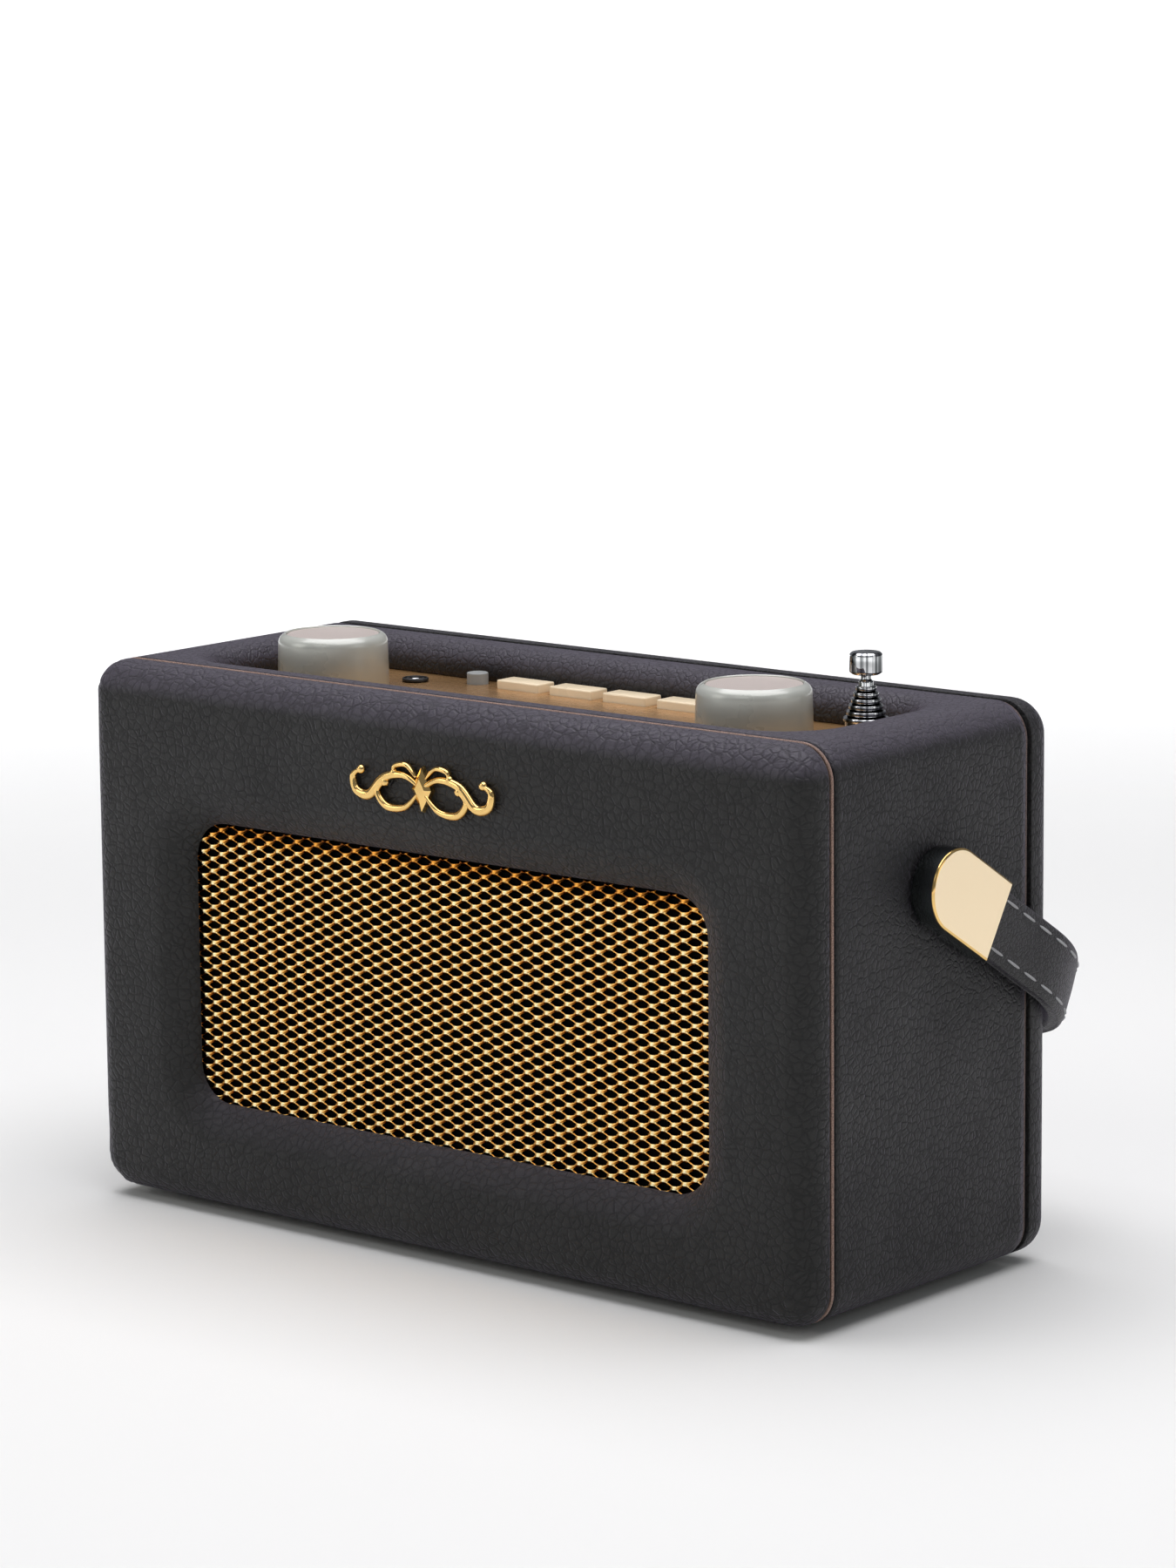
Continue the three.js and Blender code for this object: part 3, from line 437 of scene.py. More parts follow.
def rounded_ring(cz, half_w, half_h, radius):
    """Points round a rectangle with round corners, centred on (0, cz). Every ring has as many."""
    arcs = []
    for sx, sz, start in [(1, -1, -90), (1, 1, 0), (-1, 1, 90), (-1, -1, 180)]:
        px, pz = sx * (half_w - radius), cz + sz * (half_h - radius)
        angles = [math.radians(start + 90 * j / CORNER_STEPS) for j in range(CORNER_STEPS + 1)]
        arcs.append([(px + radius * math.cos(a), pz + radius * math.sin(a)) for a in angles])
    points = []
    for k, arc in enumerate(arcs):
        points += arc
        (x0, z0), (x1, z1) = arc[-1], arcs[(k + 1) % 4][0]
        steps = LONG_STEPS if k % 2 else SHORT_STEPS
        points += [(x0 + (x1 - x0) * j / steps, z0 + (z1 - z0) * j / steps)
                   for j in range(1, steps)]
    return points


def loft(rings, closed=False):
    """Quads between rings of equal length. closed joins the last ring to the first."""
    points = [p for ring in rings for p in ring]
    count = len(rings[0])
    faces = []
    pairs = len(rings) if closed else len(rings) - 1
    for r in range(pairs):
        a, b = r * count, ((r + 1) % len(rings)) * count
        for i in range(count):
            j = (i + 1) % count
            faces.append((a + i, a + j, b + j, b + i))
    return points, faces


def outline_ring(inset, y):
    """The cabinet's outline moved in by inset, at depth y."""
    radius = max(CORNER - inset, 1.5)
    ring = rounded_ring(HEIGHT / 2, WIDTH / 2 - inset, HEIGHT / 2 - inset, radius)
    return [(x, y, z) for x, z in ring]


def quarter(steps):
    """Angles from 0 to a quarter turn."""
    return [math.pi / 2 * j / steps for j in range(steps + 1)]


def full_turn(steps):
    """Angles evenly round a circle."""
    return [2 * math.pi * i / steps for i in range(steps)]


def lathe(name, profile, material, place, steps=64, axis="Z", angle=40):
    """A piece turned about the Z or Y line through place, from (radius, Z or Y) pairs."""
    x, y, z = place
    rings = []
    for radius, along in profile:
        circle = [(radius * math.cos(a), radius * math.sin(a)) for a in full_turn(steps)]
        rings.append([(x + u, y + v, along) if axis == "Z" else (x + u, along, z + v)
                      for u, v in circle])
    origin = Vector((x, y, 0)) if axis == "Z" else Vector((x, 0, z))
    return mesh_object(name, *loft(rings), material, origin, angle)


def rounded_profile(profile, bevel, steps=3):
    """A turned profile with its inner corners rounded off by bevel."""
    result = [profile[0]]
    for before, here, after in zip(profile, profile[1:], profile[2:]):
        p, c, n = Vector(before), Vector(here), Vector(after)
        size = min(bevel, (p - c).length * 0.45, (n - c).length * 0.45)
        if here[0] <= 0 or size < 0.01:
            result.append(here)
            continue
        start, end = c + (p - c).normalized() * size, c + (n - c).normalized() * size
        for j in range(steps + 1):
            t = j / steps
            point = start * (1 - t) ** 2 + c * 2 * t * (1 - t) + end * t ** 2
            result.append((point.x, point.y))
    result.append(profile[-1])
    return result


def turned(name, profile, material, place, bevel, **options):
    return lathe(name, rounded_profile(profile, bevel), material, place, **options)


def block(name, low, high, material, bevel=0.4, segments=3):
    """A box with rounded edges, in the cabinet's millimetres."""
    middle = [(a + b) / 2 for a, b in zip(low, high)]
    work = bmesh.new()
    bmesh.ops.create_cube(work, size=1)
    for vertex in work.verts:
        vertex.co = Vector(m + c * (h - l) for m, c, h, l in zip(middle, vertex.co, high, low))
    if bevel:
        bmesh.ops.bevel(work, geom=work.edges[:], offset=bevel, segments=segments, profile=0.5,
                        affect="EDGES")
    work.verts.ensure_lookup_table()
    points = [tuple(v.co) for v in work.verts]
    faces = [tuple(v.index for v in f.verts) for f in work.faces]
    work.free()
    return mesh_object(name, points, faces, material)


def joined(name, pieces):
    """Several objects made into one, which takes the first one's origin."""
    first = pieces[0]
    with bpy.context.temp_override(active_object=first, selected_editable_objects=pieces):
        bpy.ops.object.join()
    first.name = name
    return first


def capped_loft(rings):
    """A loft whose first and last ring are closed with a face."""
    points, faces = loft(rings)
    count = len(rings[0])
    faces.append(tuple(range(count)))
    faces.append(tuple(len(points) - 1 - k for k in range(count)))
    return points, faces


def sweep(path, section):
    """A closed tube along a path of (centre, side, up). section(t) gives the points of a ring."""
    last = len(path) - 1
    return capped_loft([[tuple(point + side * u + up * v) for u, v in section(i / last)]
                        for i, (point, side, up) in enumerate(path)])


def cut_with(thing, cutters):
    """Cuts closed pieces out of another and removes them."""
    for cutter in cutters:
        modifier = thing.modifiers.new("cut", "BOOLEAN")
        modifier.object = cutter
        modifier.operation = "DIFFERENCE"
        modifier.solver = "EXACT"
    applied(thing)
    for cutter in cutters:
        bpy.data.objects.remove(cutter)
    thing.data.set_sharp_from_angle(angle=math.radians(40))
    return thing


def dress(thing, body, slot, *nodes):
    """Hangs a piece on its body and hides the CAD nodes that it stands for. The slot is not used.
    """
    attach(thing, body)
    if nodes:
        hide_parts(*nodes)
    return thing


# ---- Cabinet ----

ROUNDOVER = 6.6  # radius of the soft edge round the front and the back
EDGE = 0.5  # smaller rounding of the covers where they meet the seams
FRONT = span("front_cover")[0].y
COVER_BACK = span("front_cover")[1].y
GRILLE_Z = centre("grille").z
OPENING = (75.0, 32.75, 9.0)  # half width, half height and corner radius of the grille's opening
LIP_WIDTH = 8.6
LIP_SLOPE = 1.5  # 1 gives a quarter round, 2 a straight bevel
GRILLE_SEAT = -4.0
HIDDEN_LIP = 3.4  # how far the cover is cut back behind the grille's seat
FACE_CROWN = 0.25
LEATHER = 1.2  # thickness of the sleeve


def opening_ring(offset, y):
    half_w, half_h, radius = OPENING
    ring = rounded_ring(GRILLE_Z, half_w + offset, half_h + offset, radius + offset)
    return [(x, y, z) for x, z in ring]


def blend_rings(a, b, t):
    return [tuple(p + (q - p) * t for p, q in zip(pa, pb)) for pa, pb in zip(a, b)]


GATHER_REACH, GATHER_DEPTH = 20, 0.55  # how far from a corner creases run, and how deep they are


def wrinkle(cover):
    """Presses short creases into the leather where it is gathered round the cover's corners."""
    for vertex in cover.data.vertices:
        p = (vertex.co - ORIGIN) / MM
        corner = Vector((WIDTH / 2 if p.x > 0 else -WIDTH / 2, HEIGHT if p.z > HEIGHT / 2 else 0))
        reach = (Vector((p.x, p.z)) - corner).length
        near = max(0, 1 - reach / GATHER_REACH) * min(1, max(0, COVER_BACK - p.y - 0.6))
        ridge = 1 - abs(noise.noise(Vector((p.x, p.y * 0.7, p.z)) * 0.42))
        vertex.co -= vertex.normal * (GATHER_DEPTH * near * ridge ** 6 * MM)


def front_cover(material):
    """The padded cover: soft outer edges, a faintly crowned face and a lip that rolls inwards."""
    rings = [opening_ring(HIDDEN_LIP, GRILLE_SEAT), opening_ring(HIDDEN_LIP, COVER_BACK)]
    rings += [outline_ring(EDGE, COVER_BACK), outline_ring(EDGE * 0.24, COVER_BACK - EDGE * 0.24)]
    rings += [outline_ring(0, COVER_BACK - EDGE)]
    rings += [outline_ring(ROUNDOVER * (1 - math.cos(a)), FRONT + ROUNDOVER * (1 - math.sin(a)))
              for a in quarter(10)]
    outer, inner = outline_ring(ROUNDOVER, FRONT), opening_ring(LIP_WIDTH, FRONT)
    for t in (j / 12 for j in range(1, 12)):
        ring = blend_rings(outer, inner, t)
        rings.append([(x, y - FACE_CROWN * math.sin(math.pi * t), z) for x, y, z in ring])
    depth = GRILLE_SEAT - FRONT
    rings += [opening_ring(LIP_WIDTH * (1 - math.sin(a) ** LIP_SLOPE),
                           FRONT + depth * (1 - math.cos(a) ** LIP_SLOPE)) for a in quarter(12)]
    cover = mesh_object("cover_front", *loft(rings, closed=True), material, angle=60)
    wrinkle(cover)
    return cover


def piping(name, node, material, fullness, sink):
    """A round cord along the cabinet's outline, sunk a little into the seam."""
    low, high = span(node)
    radius = (high.y - low.y) / 2 * fullness
    inset = (low.x + WIDTH / 2) + radius + sink
    rings = [outline_ring(inset - radius * math.cos(a), centre(node).y + radius * math.sin(a))
             for a in full_turn(12)]
    return mesh_object(name, *loft(rings, closed=True), material, angle=80)


WELL = (88.0, 25.0, 12.0)  # half width, half depth and corner radius
WELL_MIDDLE = 34.4
ROLL = 5.0  # radius of the well's rolled edge
FLAT_RIM = 1.2
FOLD_REACH = 10.0  # length beside each corner of the top that faces the well's corner


def well_ring(margin, z):
    half_w, half_d, radius = WELL
    ring = rounded_ring(WELL_MIDDLE, half_w + margin, half_d + margin, radius + margin)
    return [(x, y, z) for x, y in ring]


def top_rectangle(edge_x):
    """The edge of the sleeve's flat top, as points that face those of a well_ring."""
    half_depth = (SLEEVE_BACK - SLEEVE_FRONT) / 2
    middle_y = (SLEEVE_BACK + SLEEVE_FRONT) / 2
    signs = [(1, -1), (1, 1), (-1, 1), (-1, -1)]
    tips = [Vector((sx * edge_x, middle_y + sy * half_depth)) for sx, sy in signs]
    rectangle = []
    for k, (sx, sy) in enumerate(signs):
        ends = [Vector((sx * FOLD_REACH, 0)), Vector((0, sy * FOLD_REACH))]
        arrive, leave = reversed(ends) if k % 2 else ends
        for j in range(CORNER_STEPS + 1):
            t = j / CORNER_STEPS
            rectangle.append(tips[k] - (arrive * (1 - 2 * t) if t < 0.5 else leave * (2 * t - 1)))
        side = LONG_STEPS if k % 2 else SHORT_STEPS
        nx, ny = signs[(k + 1) % 4]
        back_off = Vector((nx * FOLD_REACH, 0)) if k % 2 else Vector((0, ny * FOLD_REACH))
        begin, finish = tips[k] - leave, tips[(k + 1) % 4] - back_off
        rectangle += [begin + (finish - begin) * (j / side) for j in range(1, side)]
    return rectangle


def sleeve_path(edge_x):
    """Points round the cabinet from the top's right end, over the bottom, to its left end."""
    path = []
    for sx, sz, start in [(1, 1, 90), (1, -1, 0), (-1, -1, -90), (-1, 1, -180)]:
        px, pz = sx * edge_x, HEIGHT / 2 + sz * (HEIGHT / 2 - CORNER)
        angles = [math.radians(start - 7.5 * j) for j in range(13)]
        path += [(px + CORNER * math.cos(a), pz + CORNER * math.sin(a)) for a in angles]
    dense = []
    for a, b in zip(path, path[1:]):
        pieces = max(1, round(math.dist(a, b) / 12))
        dense += [(a[0] + (b[0] - a[0]) * j / pieces, a[1] + (b[1] - a[1]) * j / pieces)
                  for j in range(pieces)]
    return dense + [path[-1]]


def sleeve(material):
    """The leather sheet round the cabinet, with the well's opening rolled into its top."""
    well_floor = span("control_panel")[1].z + 0.2
    edge_x = WIDTH / 2 - CORNER
    rectangle = top_rectangle(edge_x)
    outer = [(p.x, p.y, HEIGHT) for p in rectangle]
    top_ring = well_ring(ROLL + FLAT_RIM, HEIGHT)
    rings = [outer] + [blend_rings(outer, top_ring, t) for t in (0.25, 0.5, 0.75)] + [top_ring]
    rings += [well_ring(ROLL * (1 - math.sin(a)), HEIGHT - ROLL * (1 - math.cos(a)))
              for a in quarter(10)]
    rings += [well_ring(0, well_floor + (HEIGHT - ROLL - well_floor) * t) for t in (0.5, 0)]
    points, faces = loft(rings)
    # The sides and the bottom carry the same stations in Y as the rectangle's short sides.
    stations = sorted({round(p.y, 5) for p in rectangle if abs(p.x - edge_x) < 1e-4})
    dense = sleeve_path(edge_x)
    base, rows = len(points), len(stations)
    points += [(x, y, z) for x, z in dense for y in stations]
    for i in range(len(dense) - 1):
        for j in range(rows - 1):
            a = base + i * rows + j
            faces.append((a, a + 1, a + rows + 1, a + rows))
    skin = mesh_object("sleeve_leather", points, faces, material, angle=60)
    thick = skin.modifiers.new("thickness", "SOLIDIFY")
    thick.thickness = LEATHER * MM
    thick.offset = -1
    applied(skin)
    return skin


BACK_SEAM = 70.9  # depth at which the back cover meets the sleeve
PLUG_INSET = 7.8  # the part of the back cover that sits inside the cabinet
CUT_FROM, CUT_TO = 50, 100  # depths that the back cover's cutters reach from and to
DOOR_GAP = 0.3
NOTCH_RADIUS = 8
INLET_RADIUS = 5.3
SEAT_DEPTH = 2.5


def back_cover(material):
    """The rounded back, with its battery bay, finger notch, power inlet and screw seats."""
    front, back = (corner.y for corner in span("back_cover"))
    rings = [outline_ring(20, front), outline_ring(PLUG_INSET, front)]
    rings += [outline_ring(PLUG_INSET, BACK_SEAM), outline_ring(EDGE, BACK_SEAM)]
    rings += [outline_ring(EDGE * 0.24, BACK_SEAM + EDGE * 0.24)]
    rings += [outline_ring(0, BACK_SEAM + EDGE)]
    rings += [outline_ring(ROUNDOVER * (1 - math.cos(a)), back - ROUNDOVER * (1 - math.sin(a)))
              for a in quarter(10)]
    rings += [outline_ring(8.5, back), outline_ring(20, back)]
    cover = mesh_object("cover_back", *capped_loft(rings), material, angle=50)

    def bore(place, *steps):
        """A round cutter along Y. Each step is a radius and the depth that it starts at."""
        profile, before = [], 0
        for radius, start in steps:
            profile += [(before, start), (radius, start)]
            before = radius
        profile += [(before, CUT_TO), (0, CUT_TO)]
        return turned("bore", profile, material, place, 0, axis="Y")

    low, high = span("battery_tray")
    seat = back - SEAT_DEPTH
    cutters = [block("bay", (low.x - DOOR_GAP, CUT_FROM, low.z - DOOR_GAP),
                     (high.x + DOOR_GAP, CUT_TO, high.z + DOOR_GAP), material, 0)]
    cutters += [bore(Vector((0, 0, high.z + 1)), (NOTCH_RADIUS, seat)),
                bore(centre("dc_socket"), (INLET_RADIUS, CUT_FROM))]
    cutters += [bore(centre(node), (1.9, CUT_FROM), (3.5, seat))
                for node in frame["nodes"] if node.startswith("back_screw")]
    return cut_with(cover, cutters)


HINGE_HEIGHT = 1.25
PEG_SUNK = 0.5  # length of each peg inside the door
RIB, RIB_REACH = 0.35, 9  # half the height and half the length of a finger rib


def battery_door(material):
    """A door with a soft edge and finger ribs, turning on two pegs."""
    low, high = span("battery_door")
    tray_low, tray_high = span("battery_tray")
    pieces = [block("lid_battery", (tray_low.x, low.y, low.z), (tray_high.x, high.y, high.z),
                    material, 0.5)]
    hinge = low.z + HINGE_HEIGHT
    for side in (-1, 1):
        reach = high.x - tray_high.x + PEG_SUNK
        profile = [(0, 0), (1, 0), (1, reach), (0, reach)]
        peg = turned("peg", profile, material, Vector(), 0.15, steps=24)
        peg.data.transform(Matrix.Rotation(math.radians(90 * side), 4, "Y"))
        peg.location = at(side * (tray_high.x - PEG_SUNK), centre("battery_door").y, hinge)
        pieces.append(peg)
    for z in (high.z - 3.2 - k * 1.6 for k in range(5)):
        pieces.append(block("rib", (-RIB_REACH, high.y - RIB, z - RIB),
                            (RIB_REACH, high.y, z + RIB), material, 0.15))
    return joined("lid_battery", pieces)


def foot(name, node, material):
    place, r, low, high = round_span(node)
    profile = [(0, low.z + 0.5), (r - 2.2, low.z + 0.5), (r - 2.5, low.z), (r - 0.6, low.z),
               (r, low.z + 0.6), (r, high.z), (0, high.z)]
    return turned(name, profile, material, place, 0.25, steps=48)


def screw(name, node, material):
    """A domed cross-head screw."""
    place, r, low, high = round_span(node)
    under = high.y - 1.8
    profile = [(0, low.y), (1.2, low.y), (1.6, low.y + 1), (1.6, under), (r, under)]
    profile += [(r * math.cos(a), high.y - 0.9 + 0.9 * math.sin(a)) for a in quarter(6)]
    head = lathe(name, profile, material, place, steps=40, axis="Y")
    slots = [block("slot", (place.x - a, high.y - 1, place.z - b),
                   (place.x + a, high.y + 1, place.z + b), material, 0)
             for a, b in ((1.9, 0.35), (0.35, 1.9))]
    return cut_with(head, slots)


# ---- Ornament and grille ----

def smooth_curve(knots, steps):
    """Points on a Catmull-Rom curve through the knots."""
    points = []
    padded = [knots[0]] + knots + [knots[-1]]
    for k in range(len(knots) - 1):
        a, b, c, d = (Vector(p) for p in padded[k:k + 4])
        for j in range(steps):
            t = j / steps
            points.append(0.5 * (2 * b + (c - a) * t + (2 * a - 5 * b + 4 * c - d) * t ** 2
                                 + (3 * b - a - 3 * c + d) * t ** 3))
    points.append(Vector(knots[-1]))
    return points


RELIEF = 0.95  # half the ornament's thickness
ORNAMENT_Y = FRONT - 0.3 - RELIEF
ORNAMENT_Z = 105.5


def scroll(knots, width, side, material):
    """A flattened gold band that swells in the middle and ends in a round drop."""
    curve = smooth_curve([(side * x, dz) for x, dz in knots], 7)
    path = []
    for i, point in enumerate(curve):
        ahead = curve[min(i + 1, len(curve) - 1)] - curve[max(i - 1, 0)]
        across = Vector((-ahead.y, 0, ahead.x)).normalized()
        place = Vector((point.x, ORNAMENT_Y, ORNAMENT_Z + point.y))
        path.append((place, across, Vector((0, -1, 0))))

    def section(t):
        swell = width * (0.34 + 0.66 * math.sin(math.pi * min(max(t, 0.02), 0.98)))
        return [(swell * math.cos(a), RELIEF * math.sin(a) * (0.55 + 0.45 * swell / width))
                for a in full_turn(12)]

    band = mesh_object("scroll", *sweep(path, section), material, angle=60)
    profile = [(r, ORNAMENT_Y + y)
               for r, y in ((0, -RELIEF), (0.7, -0.8), (1.15, 0), (0.7, 0.8), (0, RELIEF))]
    drop = turned("drop", profile, material, path[-1][0], 0.3, steps=24, axis="Y")
    return [band, drop]


def ornament(material):
    """A plain symmetrical scroll about a faceted lozenge."""
    upper = [(0, 0.2), (5, 2.6), (11, 1.6), (15.5, -2.6), (19.3, -2), (20.2, 1.2), (17.9, 2.7)]
    lower = [(1, -1), (5, -4.4), (10.3, -4.7), (13.1, -1.6), (10.8, 0.6)]
    crest = [(1.5, 2.6), (4.2, 5.0), (7.6, 4.6), (8.1, 2.9)]
    rim = [(3.1, 0), (0, 5.3), (-3.1, 0), (0, -5.3)]
    facets = [[(x * size, ORNAMENT_Y + y, ORNAMENT_Z + dz * size) for x, dz in rim]
              for size, y in ((1, RELIEF), (0.92, -0.2), (0.45, -RELIEF))]
    pieces = [mesh_object("ornament", *capped_loft(facets), material, angle=10)]
    for side in (-1, 1):
        for knots, width in ((upper, 1.2), (lower, 0.95), (crest, 0.65)):
            pieces += scroll(knots, width, side, material)
    return joined("ornament_scroll", pieces)


CELL_WIDTH, CELL_HEIGHT = 5.9, 2.8  # pitch of the openings
MOUTH_WIDTH, MOUTH_HEIGHT = 0.325 * CELL_WIDTH, 0.235 * CELL_HEIGHT  # half sizes of an opening
MOUTH_POWER = 1.9  # 1 gives a lozenge, 2 an ellipse
STRAND = 0.34  # thickness of the metal
CELL_STEPS = 16


def grille_cell():
    """Rim, strand and lip of one opening: three points for each direction round its middle."""
    points = []
    for a in full_turn(CELL_STEPS):
        u, v = math.cos(a), math.sin(a)
        border = 1 / (abs(u) + abs(v))
        mouth = (abs(u) ** MOUTH_POWER + abs(v) ** MOUTH_POWER) ** (-1 / MOUTH_POWER)
        # Bonds, where four strands meet, stand forward, and so do the openings' lower lips.
        bond = abs(2 * abs(v) * border - 1) ** 1.4
        rim = Vector((u * border * CELL_WIDTH / 2, 0.22 - 0.72 * bond,
                      v * border * CELL_HEIGHT / 2))
        lean = v * mouth
        lip = Vector((u * mouth * MOUTH_WIDTH, 0.1 + 0.45 * lean - 0.4 * (1 - abs(lean)) ** 2,
                      lean * MOUTH_HEIGHT))
        points += [rim, (rim + lip) / 2 - Vector((0, 0.04, 0)), lip]
    return points


def grille(material):
    """Expanded metal: staggered openings whose lower lips lean forward."""
    low, high = span("grille")
    middle = centre("grille")
    half_w, half_h = (high.x - low.x) / 2, (high.z - low.z) / 2
    rows, columns = int(half_h / (CELL_HEIGHT / 2)), int(half_w / CELL_WIDTH)
    cell = grille_cell()
    points, faces = [], []
    for row in range(-rows + 2, rows - 1):  # the outermost rows would be hidden behind the lip
        shift = CELL_WIDTH / 2 if row % 2 else 0
        for column in range(-columns, columns + 1):
            place = Vector((column * CELL_WIDTH + shift, 0, row * CELL_HEIGHT / 2))
            if abs(place.x) > half_w - CELL_WIDTH / 2:
                continue
            base = len(points)
            points += [middle + place + point for point in cell]
            for k in range(CELL_STEPS):
                a, b = base + 3 * k, base + 3 * ((k + 1) % CELL_STEPS)
                faces += [(a, b, b + 1, a + 1), (a + 1, b + 1, b + 2, a + 2)]
    lattice = mesh_object("grille_mesh", points, faces, material, middle, 60)
    thick = lattice.modifiers.new("thickness", "SOLIDIFY")
    thick.thickness = STRAND * MM
    thick.offset = 0
    return applied(lattice)


# ---- Controls ----

KNOB_SHOULDER = 2.3
KNOB_TAPER = 0.25
DISC_RIM = 10.75  # inner radius of the lip round a knob's disc
KEY_LEDGE = 2.6  # how far a key's flange lies below the panel


def knob(name, node, material):
    place, r, low, high = round_span(node)
    bottom, top = low.z, high.z
    profile = [(0, bottom + 4), (4.9, bottom + 4), (4.9, bottom), (r - 0.5, bottom),
               (r, bottom + 0.5)]
    shoulder = [(r - KNOB_TAPER - KNOB_SHOULDER * (1 - math.cos(a)),
                 top - KNOB_SHOULDER * (1 - math.sin(a))) for a in quarter(9)]
    profile += [point for point in shoulder if point[0] > DISC_RIM + 0.2]
    profile += [(DISC_RIM + 0.25, top - 0.02), (DISC_RIM, top - 0.2), (DISC_RIM, top - 1.1),
                (0, top - 1.1)]
    return lathe(name, profile, material, place, steps=96, angle=50)


def knob_disc(name, node, material):
    place, r, low, high = round_span(node)
    r += 0.15
    profile = [(0, low.z), (r, low.z), (r, high.z - 0.12), (r - 0.15, high.z),
               (r * 0.6, high.z - 0.1), (0, high.z - 0.16)]
    return lathe(name, profile, material, place, steps=96)


def preset_button(name, node, material):
    """A key with crisp rounded edges on its flange and stem."""
    low, high = span(node)
    x, y = centre(node).x, centre(node).y
    under = span("control_panel")[0].z - KEY_LEDGE
    cap = block(name, (low.x + 1, low.y + 1, under), (high.x - 1, high.y - 1, high.z),
                material, 0.42, 4)
    ledge = block("ledge", (low.x, low.y, under - 0.9), (high.x, high.y, under), material, 0.15, 2)
    stem = block("stem", (x - 2, y - 1.5, low.z), (x + 2, y + 1.5, under - 0.5), material, 0.2, 2)
    return joined(name, [cap, ledge, stem])


def power_button(material):
    place, flange, low, high = round_span("power_button")
    under = span("control_panel")[0].z - KEY_LEDGE
    r = flange - 1
    profile = [(0, low.z), (1.6, low.z), (1.6, under - 0.9), (flange, under - 0.9), (flange, under),
               (r, under), (r, high.z), (r * 0.55, high.z - 0.12), (0, high.z - 0.2)]
    return turned("key_power", profile, material, place, 0.35, steps=48)


def headphone_socket(black, chrome):
    low, high = span("headphone_socket")
    place = centre("headphone_socket")
    floor = span("control_panel")[1].z
    body = block("jack_headphone", (low.x, low.y, low.z), (high.x, high.y, floor - 4), black, 0.4)
    neck = [(1.75, -8), (1.75, 0.9), (2.15, 0.75), (2.3, 0.35), (2.6, 0.35), (2.75, 0.95),
            (3.05, 0.85), (3.15, 0.3), (2.6, 0.3), (2.6, -5)]
    spring = [(1.05, -4), (1.7, -4), (1.7, 0.5), (1.3, 0.55), (1.05, 0.1)]
    neck, spring = ([(r, floor + rise) for r, rise in profile] for profile in (neck, spring))
    ring = turned("ring", neck, black, place, 0.12, steps=48)
    contact = turned("contact", spring, chrome, place, 0.1, steps=32)
    return joined("jack_headphone", [body, ring, contact])


# ---- Aerial ----

def aerial_tube(name, node, material, collar):
    """A thin tube that ends in a rolled bead."""
    place, r, low, high = round_span(node)
    body = r - collar
    bead = [(body + collar * math.sin(a) ** 0.7, high.z - 0.475 * (1 + math.cos(a)))
            for a in (math.pi * j / 10 for j in range(1, 10))]
    inner = body - 0.25
    profile = [(inner, low.z), (body, low.z), (body, high.z - 1.0)] + bead
    profile += [(inner + 0.1, high.z - 0.02), (inner, high.z - 0.1), (inner, low.z)]
    return lathe(name, profile, material, place, steps=48, angle=60)


def aerial_rod(material):
    place, tip, low, high = round_span("aerial_rod")
    neck = high.z - 4.9
    rod = 1.6
    profile = [(0, low.z), (rod, low.z), (rod, neck - 1.5), (1.1, neck - 1.1), (1.1, neck),
               (tip - 0.7, neck), (tip, neck + 0.55), (tip, high.z - 0.5), (tip - 0.55, high.z),
               (0, high.z)]
    return turned("aerial_rod_tip", profile, material, place, 0.25, steps=64)


# ---- Handle ----

swing = next(j for j in frame["joints"] if j["name"] == "handle_swing")
PIVOT = (Vector(swing["pos_m"]) - ORIGIN) / MM
FOLD = math.radians(-31.5)
STRAP_OUTER = 110.4
STRAP_THICK = 3.6
STRAP_HALF = 7.8
STRAP_REACH = 76.5
STRAP_BEND = 35.0
STRAP_START = 3.6
STRAP_CROWN = 0.25
STRAP_SUNK = 0.2  # the crowned face starts this far below the strap's full thickness
TWIST = math.radians(5)
TWIST_FROM, TWIST_TO = 40.0, STRAP_REACH - 6
SLOT_GAP = 0.3  # room round the strap inside a cap
CAP_LENGTH = 17.9
CAP_RADIUS = 9.1


def handle_point(x, u, w):
    """A point of the folded handle: x across the radio, u along the strap, w across the strap."""
    return Vector((x, PIVOT.y + u * math.cos(FOLD) - w * math.sin(FOLD),
                   PIVOT.z + u * math.sin(FOLD) + w * math.cos(FOLD)))


def strap_path():
    """Middle line of the strap as (x, u, direction along it in degrees)."""
    middle_x = STRAP_OUTER - STRAP_THICK / 2
    radius = STRAP_BEND - STRAP_THICK / 2
    bend_u = STRAP_REACH - STRAP_BEND
    run = middle_x - radius
    side = [(middle_x, STRAP_START + (bend_u - STRAP_START) * j / 14, 90) for j in range(14)]
    side += [(run + radius * math.cos(math.radians(a)), bend_u + radius * math.sin(math.radians(a)),
              90 + a) for a in range(0, 90, 3)]
    across = [(run - 2 * run * j / 30, bend_u + radius, 180) for j in range(31)]
    return side + across + [(-x, u, 360 - a) for x, u, a in reversed(side)]


def strap_frames():
    """Centre, outward and width direction, and length so far, along the twisted strap."""
    frames = []
    travelled = 0
    for x, u, degrees in strap_path():
        a = math.radians(degrees)
        along = Vector((math.cos(a), math.sin(a), 0))
        outward = Vector((math.sin(a), -math.cos(a), 0))
        point = Vector((x, u, 0))
        travelled += (point - frames[-1][0]).length if frames else 0
        release = min(max((u - TWIST_FROM) / (TWIST_TO - TWIST_FROM), 0), 1)
        twist = Matrix.Rotation(-TWIST * release * release * (3 - 2 * release), 3, along)
        frames.append((point, twist @ outward, twist @ Vector((0, 0, 1)), travelled))
    return frames


